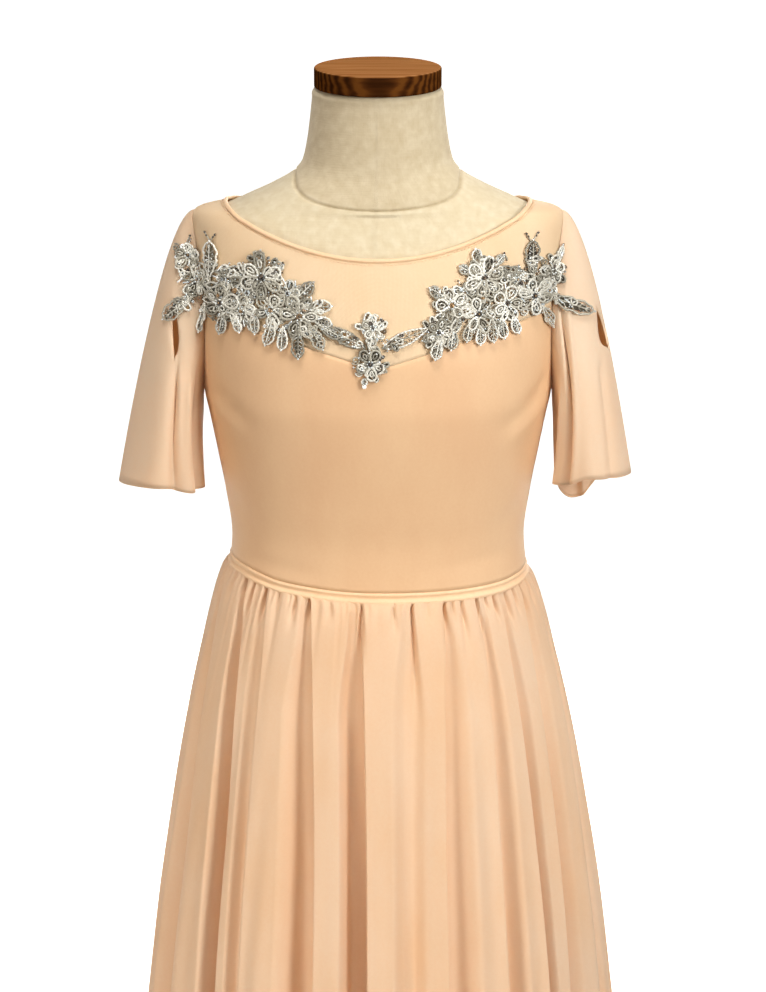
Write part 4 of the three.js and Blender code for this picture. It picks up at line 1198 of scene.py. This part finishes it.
def makeStand():
    steel, tree = newMaterial("brushedSteel")
    place = addNode(tree, "ShaderNodeTexCoord").outputs["Object"]
    streaks = noiseOf(tree, stretched(tree, place, (40.0, 40.0, 900.0)), 1.0, 3.0)
    values = {
        "Base Color": rampOf(tree, streaks, [(0.3, "9C9DA0"), (0.7, "ABACAF")]),
        "Roughness": 0.34,
        "Metallic": 1.0,
        "Normal": bumpOf(tree, streaks, 0.00003),
    }
    paint(tree, values)
    turn = circle(turned["around"])
    for node in ("stand_base", "stand_pole"):
        profile = np.array(turned[node], float)
        r, h = profile[:, 0][:, None], profile[:, 1][:, None]
        points = np.stack([r * np.cos(turn), r * np.sin(turn), h + 0 * turn], -1)
        mesh = makeMesh(node + "_metal", points, turnedFaces(*points.shape[:2]))
        mesh.set_sharp_from_angle(angle=math.radians(35))
        addPiece(node + "_metal", mesh, steel, [node])
    print("form and stand made")


lace = {
    "lift": 0.5,
    "cord": 1.05,
    "fineCord": 0.62,
    "bead": 1.05,
    "sequin": 1.8,
    "spacing": 4.3,  # least distance between the small motifs strewn over a spray
    "pearling": 0.2,  # share by which a cord's radius swells at each bead of its thread
    "seed": 11,
}
# Flowers: centre x and z, radius, petals, turn of the first petal, how far it stands off the cloth
# Leaves: base x and z, tip x and z, width, lift
# Mix: shares of teardrops, scrolls, sequins, beads in threes and bugle beads among the small motifs
# Studs: x, z, radius and shade of the large sequins
# Twigs: x and z of the foot, of the tip, and of the bend between, number of stones at the tip
sprays = {
    "applique_left": {
        "solid": True,
        "mix": (0.4, 0.14, 0.18, 0.16, 0.12),
        "flowers": [
            (-161, 1247, 11, 5, 20, 1.4), (-153, 1228, 14, 6, 50, 1.0),
            (-131, 1213, 15, 5, 80, 1.8), (-113, 1209, 13, 6, 10, 1.2), (-96, 1237, 18, 6, 30, 2.0),
            (-88, 1212, 14, 5, 60, 1.6), (-64, 1208, 17, 6, 0, 2.2), (-124, 1233, 12, 5, 35, 0.8),
            (-108, 1224, 10, 5, 0, 0.6), (-74, 1226, 10, 5, 70, 0.8),
        ],
        "leaves": [
            (-156, 1216, -181, 1194, 13, 1.4), (-141, 1231, -140, 1262, 13, 1.6),
            (-144, 1211, -154, 1185, 8, 2.0), (-137, 1238, -103, 1242, 10, 1.0),
            (-128, 1206, -131, 1188, 9, 2.0), (-86, 1206, -92, 1184, 10, 2.4),
            (-73, 1217, -53, 1235, 11, 1.4), (-62, 1215, -38, 1217, 10, 1.6),
            (-65, 1199, -65, 1175, 11, 2.6), (-57, 1203, -45, 1183, 11, 2.4),
            (-57, 1208, -38, 1203, 8, 1.4), (-78, 1200, -79, 1181, 9, 2.2),
            (-50, 1203, -30, 1193, 9, 1.8), (-102, 1214, -101, 1192, 8, 1.8),
            (-117, 1205, -114, 1192, 7, 2.0), (-99, 1247, -97, 1258, 8, 1.4),
            (-88, 1243, -78, 1248, 8, 1.4),
        ],
        "studs": [
            (-118, 1225, 2.4, 0.2), (-96, 1238, 1.8, 0.1), (-132, 1219, 2.0, 0.22),
            (-60, 1213, 1.8, 0.14), (-84, 1243, 1.7, 0.06), (-78, 1249, 1.5, 0.06),
            (-47, 1221, 1.6, 0.08),
        ],
        "twigs": [
            (-141, 1263, -145, 1269, -143, 1266, 2), (-140, 1263, -136, 1268, -138, 1266, 2),
            (-163, 1256, -159, 1263, -161, 1260, 1),
        ],
    },
    "applique_right": {
        "solid": True,
        "mix": (0.4, 0.14, 0.18, 0.16, 0.12),
        "flowers": [
            (147, 1236, 12, 5, 10, 1.2), (130, 1219, 16, 6, 40, 1.8), (107, 1216, 14, 5, 70, 1.4),
            (88, 1237, 17, 6, 20, 2.0), (83, 1209, 15, 6, 50, 1.8), (61, 1217, 14, 5, 30, 1.6),
            (50, 1196, 11, 5, 0, 2.0), (116, 1234, 10, 5, 15, 0.8), (143, 1221, 9, 5, 45, 0.8),
            (72, 1226, 10, 5, 5, 0.8),
        ],
        "leaves": [
            (140, 1218, 182, 1200, 12, 1.6), (149, 1240, 156, 1255, 7, 1.2),
            (129, 1233, 129, 1264, 13, 1.6), (136, 1210, 149, 1189, 8, 2.2),
            (126, 1238, 100, 1243, 9, 1.0), (86, 1247, 81, 1260, 9, 1.6),
            (94, 1206, 95, 1186, 9, 2.4), (112, 1206, 116, 1191, 8, 2.2),
            (76, 1203, 73, 1188, 8, 2.2), (58, 1223, 43, 1231, 9, 1.4),
            (51, 1191, 47, 1175, 10, 2.6), (52, 1194, 37, 1190, 7, 2.0),
            (68, 1210, 62, 1196, 8, 1.8), (62, 1200, 60, 1182, 9, 2.2),
            (84, 1200, 84, 1185, 9, 2.2), (102, 1206, 104, 1188, 9, 2.2),
            (97, 1246, 104, 1254, 7, 1.4), (78, 1242, 68, 1247, 8, 1.4),
        ],
        "studs": [
            (118, 1231, 2.0, 0.05), (86, 1222, 1.8, 0.2), (70, 1206, 1.9, 0.06),
            (147, 1240, 1.7, 0.06), (96, 1250, 1.6, 0.06), (57, 1228, 1.7, 0.08),
            (46, 1204, 1.8, 0.06),
        ],
        "twigs": [
            (128, 1264, 124, 1270, 126, 1267, 2), (130, 1264, 134, 1270, 132, 1267, 2),
            (150, 1250, 157, 1256, 154, 1254, 2), (108, 1250, 105, 1256, 107, 1253, 1),
        ],
    },
    "applique_centre": {
        "solid": False,
        "mix": (0.3, 0.1, 0.3, 0.3, 0.0),
        "flowers": [
            (-4, 1200.5, 10, 5, 18, 1.6), (-6, 1171.5, 12.5, 5, 54, 2.4),
        ],
        "leaves": [
            (-10, 1184.5, -44, 1202, 12, 0.8), (4, 1184.5, 42, 1200, 12, 0.8),
            (-5, 1196, -6, 1182, 8, 1.6), (-11, 1160, -11, 1154, 5, 1.6),
        ],
        "studs": [
            (1.5, 1176, 2.0, 0.04), (3.5, 1170.5, 2.2, 0.06), (0, 1166, 1.9, 0.04),
            (-6, 1203.5, 2.4, 0.06), (4, 1206, 1.5, 0.06), (-11, 1153.5, 2.0, 1.0),
        ],
        "twigs": [(-5, 1186, -6, 1178, -6, 1182, 0)],
    },
}


# The four neighbours of each place of a lattice.
def neighbours(field, **edge):
    padded = np.pad(field, 1, **edge)
    return np.stack([padded[1:-1, :-2], padded[1:-1, 2:], padded[:-2, 1:-1], padded[2:, 1:-1]])


# How far forward the cloth reaches over a lattice of (x, z), by casting rays at the finished pieces, with
# holes filled from their neighbours and the steps at the armholes softened.
class Front:
    def __init__(self, pieces, low, high, step):
        depsgraph = bpy.context.evaluated_depsgraph_get()
        trees = [BVHTree.FromObject(piece, depsgraph) for piece in pieces]
        self.low, self.step = np.array(low, float), step
        columns, rows = ((np.array(high) - np.array(low)) // step + 1).astype(int)
        field = np.full((rows, columns), np.nan)
        for r in range(rows):
            for c in range(columns):
                origin = Vector(((low[0] + c * step) * mm, -0.6, (low[1] + r * step) * mm))
                hits = [tree.ray_cast(origin, Vector((0, 1, 0)))[0] for tree in trees]
                depths = [hit.y / mm for hit in hits if hit is not None]
                if depths and min(depths) < 0:
                    field[r, c] = min(depths)
        for _ in range(60):
            if not np.isnan(field).any():
                break
            around = neighbours(field, constant_values=np.nan)
            known = ~np.isnan(around)
            mean = np.where(known, around, 0).sum(0) / np.maximum(known.sum(0), 1)
            field = np.where(np.isnan(field) & known.any(0), mean, field)
        raw = field.copy()
        for _ in range(5):
            field = np.minimum((neighbours(field, mode="edge").sum(0) + 4 * field) / 8, raw + 0.2)
        self.field = field
        self.slopeZ, self.slopeX = np.gradient(field, step)

    def sample(self, field, x, z):
        rows, columns = field.shape
        c = np.clip((x - self.low[0]) / self.step, 0, columns - 1.001)
        r = np.clip((z - self.low[1]) / self.step, 0, rows - 1.001)
        i, j = np.floor(r).astype(int), np.floor(c).astype(int)
        a, b = r - i, c - j
        top = field[i, j] * (1 - b) + field[i, j + 1] * b
        low = field[i + 1, j] * (1 - b) + field[i + 1, j + 1] * b
        return top * (1 - a) + low * a

    # Points and normals of the cloth at (x, z), moved out by off.
    def at(self, x, z, off):
        y = self.sample(self.field, x, z)
        slopes = [self.sample(self.slopeX, x, z), -np.ones_like(x), self.sample(self.slopeZ, x, z)]
        normal = unit(np.stack(slopes, -1))
        return np.stack([x, y, z], -1) + normal * np.broadcast_to(off, x.shape)[..., None], normal


# Teardrop loops of n points each, out from the foot to a round tip and back: along goes with the cosine of
# the share of the way, across with its sine, drawn in at the foot.
def teardrops(long, wide, n, pinch=0.35):
    u = np.arange(n) / n
    along = (1 - np.cos(2 * math.pi * u)) / 2
    across = np.sin(2 * math.pi * u) * np.sin(math.pi * u) ** (2 * pinch)
    return long[:, None] * along, wide[:, None] * across


# Points along and across a direction from each foot (x, z).
def placed(x, z, angle, along, across):
    c, s = np.cos(angle)[:, None], np.sin(angle)[:, None]
    return x[:, None] + along * c - across * s, z[:, None] + along * s + across * c


def laceSpray(spec, front, draw):
    cords, fills, glints = Heap(), Heap(), Heap()
    lift = lace["lift"]
    flowers, leaves = np.array(spec["flowers"], float), np.array(spec["leaves"], float)

    def addCords(px, pz, off, radius, closed=True, sides=6, shade=None):
        paths, normals = front.at(px, pz, lift + off)
        beaded = radius * (1 + lace["pearling"] * np.where(np.arange(px.shape[1]) % 2, 1, -1))
        shade = draw.choice([0.15, 0.45, 0.7, 0.85, 1.0], len(px)) if shade is None else shade
        cords.tubes(paths, normals, beaded[None], sides, closed, shade)

    # off grows from the foot towards the tip, so that petals cup
    def addLoops(x, z, angle, long, wide, off, radius, n=20):
        along, across = teardrops(long, wide, n)
        px, pz = placed(x, z, angle, along, across)
        cup = 0.9 * (along / np.maximum(long[:, None], 0.1)) ** 2
        addCords(px, pz, off[:, None] + cup, radius)

    # a domed patch of dark stitching inside each loop, its dark colour partly the stitching's own and partly
    # painted shade under the cords
    def addFills(x, z, angle, long, wide, off):
        u, v = np.linspace(0.06, 0.94, 6), np.linspace(-1, 1, 5)
        bell = np.sin(math.pi * u**0.85) ** 0.7
        along = long[:, None, None] * u[None, :, None] + 0 * v
        across = wide[:, None, None] * 0.75 * bell[None, :, None] * v[None, None]
        px, pz = placed(x, z, angle, along.reshape(len(x), -1), across.reshape(len(x), -1))
        dome = (0.3 * (1 - v**2)[None, None] * bell[None, :, None] + 0 * along).reshape(len(x), -1)
        height = off[:, None] + dome + 0.7 * np.repeat(u, len(v))[None] ** 2
        points, _ = front.at(px, pz, lift + height - 0.5)
        uv = np.stack([along.reshape(len(x), -1), across.reshape(len(x), -1)], -1) * mm
        fills.copies(points, [gridFaces(len(u), len(v))[:, ::-1]], draw.uniform(0, 1, len(x)), uv)

    def addBeads(x, z, off, radius, shade, flat=0.9):
        centres, normals = front.at(x, z, lift + off)
        glints.beads(centres, normals, radius, shade, flat)

    def addSequins(x, z, off, radius, shade):
        centres, normals = front.at(x, z, lift + off)
        tilt = unit(normals + draw.uniform(-0.4, 0.4, normals.shape))
        glints.sequins(centres, tilt, radius, shade)

    for x, z, radius, petals, first, off in spec["flowers"]:
        turn = np.radians(first + np.arange(petals) * 360 / petals + draw.uniform(-9, 9, petals))
        size = radius * draw.uniform(0.82, 1.1, petals)
        wide = size * math.tan(math.pi / petals) * draw.uniform(0.46, 0.6, petals)
        foot = 0.16 * radius
        fx, fz = x + foot * np.cos(turn), z + foot * np.sin(turn)
        high = off + draw.uniform(-0.4, 0.7, petals)
        addLoops(fx, fz, turn, size - foot, wide, high, lace["cord"])
        inner = np.full(petals, 0.36 * radius)
        ix, iz = fx + 0.24 * size * np.cos(turn), fz + 0.24 * size * np.sin(turn)
        addLoops(ix, iz, turn, inner, wide * 0.36, high + 0.3, lace["fineCord"], 10)
        addFills(fx, fz, turn, size - foot, wide, high)
        bx, bz = x + size * 0.8 * np.cos(turn), z + size * 0.8 * np.sin(turn)
        addBeads(bx, bz, high + 1.2, lace["bead"] * 0.8, draw.uniform(0.1, 1, petals))
        ring = np.radians(np.arange(6) * 60 + first)
        rx, rz = x + 0.19 * radius * np.cos(ring), z + 0.19 * radius * np.sin(ring)
        addBeads(rx, rz, off + 1.3, lace["bead"] * 0.78, draw.uniform(0.5, 1, 6))
        middle = np.array([float(x)]), np.array([float(z)])
        addSequins(*middle, off + 1.0, 0.16 * radius, draw.uniform(0, 0.2, 1))
        addBeads(*middle, off + 1.7, lace["bead"], draw.uniform(0.0, 0.25, 1))

    # leaves: pointed outlines with a midrib, short slanting ribs, and beads between them
    x, z, dx, dz = leaves[:, 0], leaves[:, 1], leaves[:, 2] - leaves[:, 0], leaves[:, 3] - leaves[:, 1]
    wide, off = leaves[:, 4] * 0.86, leaves[:, 5]
    angle, long = np.arctan2(dz, dx), np.hypot(dx, dz)
    u = np.arange(26) / 26
    side = np.where(u < 0.5, 1, -1)
    w = np.where(u < 0.5, 2 * u, 2 - 2 * u)
    if spec["solid"]:  # round-ended, with lobes on the wide ones
        lobes = 1 + 0.13 * np.cos(8 * math.pi * w) * smooth(wide, 7, 9)[:, None]
        across = (wide / 2)[:, None] * side * np.sin(math.pi * w**1.8) ** 0.48 * lobes
    else:
        across = (wide / 2)[:, None] * side * np.sin(math.pi * w**0.9)
    bow = np.sin(math.pi * w) * draw.uniform(-1, 1, (len(x), 1))
    px, pz = placed(x, z, angle, long[:, None] * w, across + bow)
    addCords(px, pz, off[:, None] + 0.8 * w, lace["cord"] * 0.9)
    if spec["solid"]:
        addFills(x, z, angle, long, wide / 2, off)
    mid = np.linspace(0.02, 0.92, 12)
    px, pz = placed(x, z, angle, long[:, None] * mid, np.sin(math.pi * mid) * 0 + 0 * x[:, None])
    addCords(px, pz, off[:, None] + 0.5 + 0.4 * mid, lace["fineCord"], False, 5)
    for share in np.arange(0.16, 0.84, 0.13):
        for way in (-1, 1):
            reach = np.linspace(0.1, 0.85, 4)
            spread = way * (wide / 2)[:, None] * math.sin(math.pi * (share + 0.06) ** 1.1) * reach
            px, pz = placed(x, z, angle, long[:, None] * (share + 0.12 * reach), spread)
            addCords(px, pz, off[:, None] + 0.5 + 0.4 * share + 0 * spread, 0.42, False, 4)
            bx, bz = placed(x, z, angle, (long * (share + 0.13))[:, None], spread[:, 2:3])
            shade = draw.uniform(0.0, 1, len(x))
            addBeads(bx[:, 0], bz[:, 0], off + 0.9 + 0.4 * share, lace["bead"] * 0.62, shade)
    bx, bz = placed(x, z, angle, (long + 0.6)[:, None], 0 * long[:, None])
    addBeads(bx[:, 0], bz[:, 0], off + 1.0, lace["bead"] * 0.9, draw.uniform(0.5, 1, len(x)))

    # small motifs strewn over the spray, each pointing away from the flower that it is nearest to
    spots = strewn(flowers, leaves, draw)
    far = np.hypot(spots[:, None, 0] - flowers[None, :, 0], spots[:, None, 1] - flowers[None, :, 1])
    near = flowers[far.argmin(1)]
    away = np.arctan2(spots[:, 1] - near[:, 1], spots[:, 0] - near[:, 0]) + draw.normal(0, 0.6, len(spots))
    kind = draw.choice(5, len(spots), p=spec["mix"])
    height = 0.5 + draw.uniform(0, 1.1, len(spots))
    for which in range(5):
        chosen = kind == which
        x, z, angle, off = spots[chosen, 0], spots[chosen, 1], away[chosen], height[chosen]
        count = len(x)
        if not count:
            continue
        if which == 0:  # teardrops
            long, wide = draw.uniform(6, 10, count), draw.uniform(1.9, 2.8, count)
            sx, sz = x - 0.5 * long * np.cos(angle), z - 0.5 * long * np.sin(angle)
            addLoops(sx, sz, angle, long, wide, off + 0.5, lace["cord"] * 0.85, 16)
            addFills(sx, sz, angle, long, wide, off + 0.3)
            addBeads(x, z, off + 1.0, lace["bead"] * 0.7, draw.uniform(0, 1, count))
        if which == 1:  # scrolls
            t = np.linspace(0, 1, 18)
            reach = draw.uniform(2.6, 3.8, (count, 1)) * (1 - 0.72 * t)
            swing = angle[:, None] + draw.choice([-1, 1], (count, 1)) * t * 2.7 * math.pi
            px, pz = x[:, None] + reach * np.cos(swing), z[:, None] + reach * np.sin(swing)
            addCords(px, pz, off[:, None] + 0.4 + 0.6 * t, lace["fineCord"] * 1.1, False)
        if which == 2:  # sequin with a bead on it
            radius = lace["sequin"] * draw.uniform(0.75, 1.25, count)
            addSequins(x, z, off + 0.6, radius, draw.uniform(0, 1, count))
            addBeads(x, z, off + 1.1, lace["bead"] * 0.62, draw.uniform(0, 1, count))
        if which == 3:  # three beads
            for step in (-1, 0, 1):
                bx, bz = x + 1.9 * step * np.cos(angle), z + 1.9 * step * np.sin(angle)
                addBeads(bx, bz, off + 0.9, lace["bead"] * 0.9, draw.uniform(0.05, 1, count))
        if which == 4:  # short bugle bead
            t = np.linspace(-1, 1, 4)
            px, pz = placed(x, z, angle, 2.6 * t, 0 * t)
            paths, normals = front.at(px, pz, lift + off[:, None] + 1.0)
            glints.tubes(paths, normals, lace["bead"] * 0.7, 6, False, draw.uniform(0.5, 1, count))

    sx, sz, radius, shade = np.array(spec["studs"], float).T
    addSequins(sx, sz, 3.0, radius, shade)
    addBeads(sx, sz, 3.3, radius * 0.5, shade)
    for x0, z0, x1, z1, mx, mz, stones in spec["twigs"]:
        t = np.linspace(0, 1, 9)
        px = (1 - t) ** 2 * x0 + 2 * t * (1 - t) * mx + t * t * x1
        pz = (1 - t) ** 2 * z0 + 2 * t * (1 - t) * mz + t * t * z1
        addCords(px[None], pz[None], 1.0 + 0 * px[None], lace["fineCord"], False, 6, 0.4)
        if stones:
            share = np.linspace(1.0, 0.6, stones)
            sx, sz = x0 + (x1 - x0) * share, z0 + (z1 - z0) * share
            addBeads(sx, sz, 1.5, np.linspace(1.25, 1.0, stones), np.full(stones, 0.06), 0.7)
    return cords, fills, glints


# Places on the spray's ground at least a spacing apart: inside its flowers' discs or its wider leaves.
def strewn(flowers, leaves, draw):
    low = flowers[:, :2].min(0) - 24
    high = flowers[:, :2].max(0) + 24
    tries = draw.uniform(low, high, (9000, 2))
    away = np.hypot(*(tries[:, None] - flowers[None, :, :2]).transpose(2, 0, 1))
    inDisc = (away < flowers[:, 2] * 1.02).any(1)
    foot, along = leaves[:, :2], leaves[:, 2:4] - leaves[:, :2]
    share = ((tries[:, None] - foot) * along).sum(-1) / (along**2).sum(-1)
    gap = np.linalg.norm(tries[:, None] - foot - along * share[..., None], axis=-1)
    inLeaf = ((share > 0.05) & (share < 0.6) & (gap < leaves[:, 4] * 0.3)).any(1)
    kept = []
    for spot in tries[inDisc | inLeaf]:
        if all(math.hypot(spot[0] - x, spot[1] - z) > lace["spacing"] for x, z in kept):
            kept.append(tuple(spot))
    return np.array(kept)


def makeLace(front):
    thread, stitch, glass = (trimMaterial(name) for name in ("silverCord", "stitchingAndShade", "beads"))
    draw = np.random.default_rng(lace["seed"])
    for node, spec in sprays.items():
        cords, fills, glints = laceSpray(spec, front, draw)
        addPiece(node + "_cords", cords.mesh(node + "_cords"), thread, [node])
        # the stitching is coloured dark partly as painted shade under the cords
        ground = addPiece(node + "_stitching", fills.mesh(node + "_stitching"), stitch)
        thicken(ground, 0.35)
        addPiece(node + "_beads", glints.mesh(node + "_beads"), glass)
    print("lace sprays made")


# Short raised stitches along a path of turns and levels on the body.
def stitchRow(heap, points, normals, pitch, length, radius):
    travel = travelOf(points)
    starts = np.arange(pitch / 2, travel[-1] - length, pitch)
    places = starts[:, None] + np.linspace(0, length, 4)
    paths = np.stack([np.interp(places, travel, points[:, k]) for k in range(3)], -1)
    ups = unit(np.stack([np.interp(places, travel, normals[:, k]) for k in range(3)], -1))
    arch = np.array([-0.12, 0.12, 0.12, -0.12])[None, :, None]
    heap.tubes(paths + ups * arch, ups, radius, 4, False, 0.5)


def makeSewing(material):
    heap = Heap()
    turn, z = neckStops(400, 2 * neckEdge["bindingHalf"] + 1.6)
    off = cloth["formGap"] + cloth["satinWall"] + 0.15
    stitchRow(heap, onForm(turn, z, off), outward(formPoint, turn, z, 0.6, 0.4), 3.2, 2.2, 0.22)
    addPiece("top_stitching", heap.mesh("top_stitching"), material)


makeCamera()
makeStudio()
print("studio made")

makeForm(linenMaterial())
makeCap()
makeStand()
bodiceFront, yokeFront, bodiceBack, yokeBack = makeBodice()

edging = clothMaterial("edgeBinding")
waistBinding = makeWaistBand(edging)
neckBinding = makeNeckBinding(edging)

chiffon = clothMaterial("chiffon")
(sleeveLeft, sleeveRight), sleeveEdges = makeSleeves(clothMaterial("sleeveMesh"))
(skirtFrontPanel, skirtBackPanel), skirtEdges = makeSkirt(chiffon)
addPiece("sleeve_hems", sleeveEdges.mesh("sleeve_hems"), edging)
skirtHems = addPiece("skirt_hems", skirtEdges.mesh("skirt_hems"), edging)
makeSewing(edging)
makeAllowances(clothMaterial("seamAllowance"))

makeLace(Front([bodiceFront, yokeFront, sleeveLeft, sleeveRight], (-196, 1140), (196, 1284), 2.0))


# Cut sizes in metres, how each sheet is held, what it rests on, its flat area and what is sewn to it
cuts = [
    (bodiceFront, (0.37, 0.23), "stretched", ["form_linen"], 0.08, ()),
    (bodiceBack, (0.35, 0.23), "stretched", ["form_linen"], 0.078, ()),
    (yokeFront, (0.33, 0.13), "stretched", ["form_linen"], 0.032, ()),
    (yokeBack, (0.33, 0.12), "stretched", ["form_linen"], 0.031, ()),
    (neckBinding, (0.74, 0.01), "stretched", ["yoke_front_cloth"], 0.0045, ()),
    (waistBinding, (0.74, 0.013), "stretched", ["bodice_front_cloth"], 0.0094, ()),
    (sleeveLeft, (0.36, 0.25), "hung", ["bodice_front_cloth"], 0.047, ()),
    (sleeveRight, (0.36, 0.25), "hung", ["bodice_front_cloth"], 0.047, ()),
    (skirtFrontPanel, (1.0, 0.58), "gathered", ["waist_binding_cloth"], 0.46, [skirtHems]),
    (skirtBackPanel, (1.02, 0.58), "gathered", ["waist_binding_cloth"], 0.47, ()),
]
for piece, flat, held, rests, area, others in cuts:
    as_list(rests)
    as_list(others)
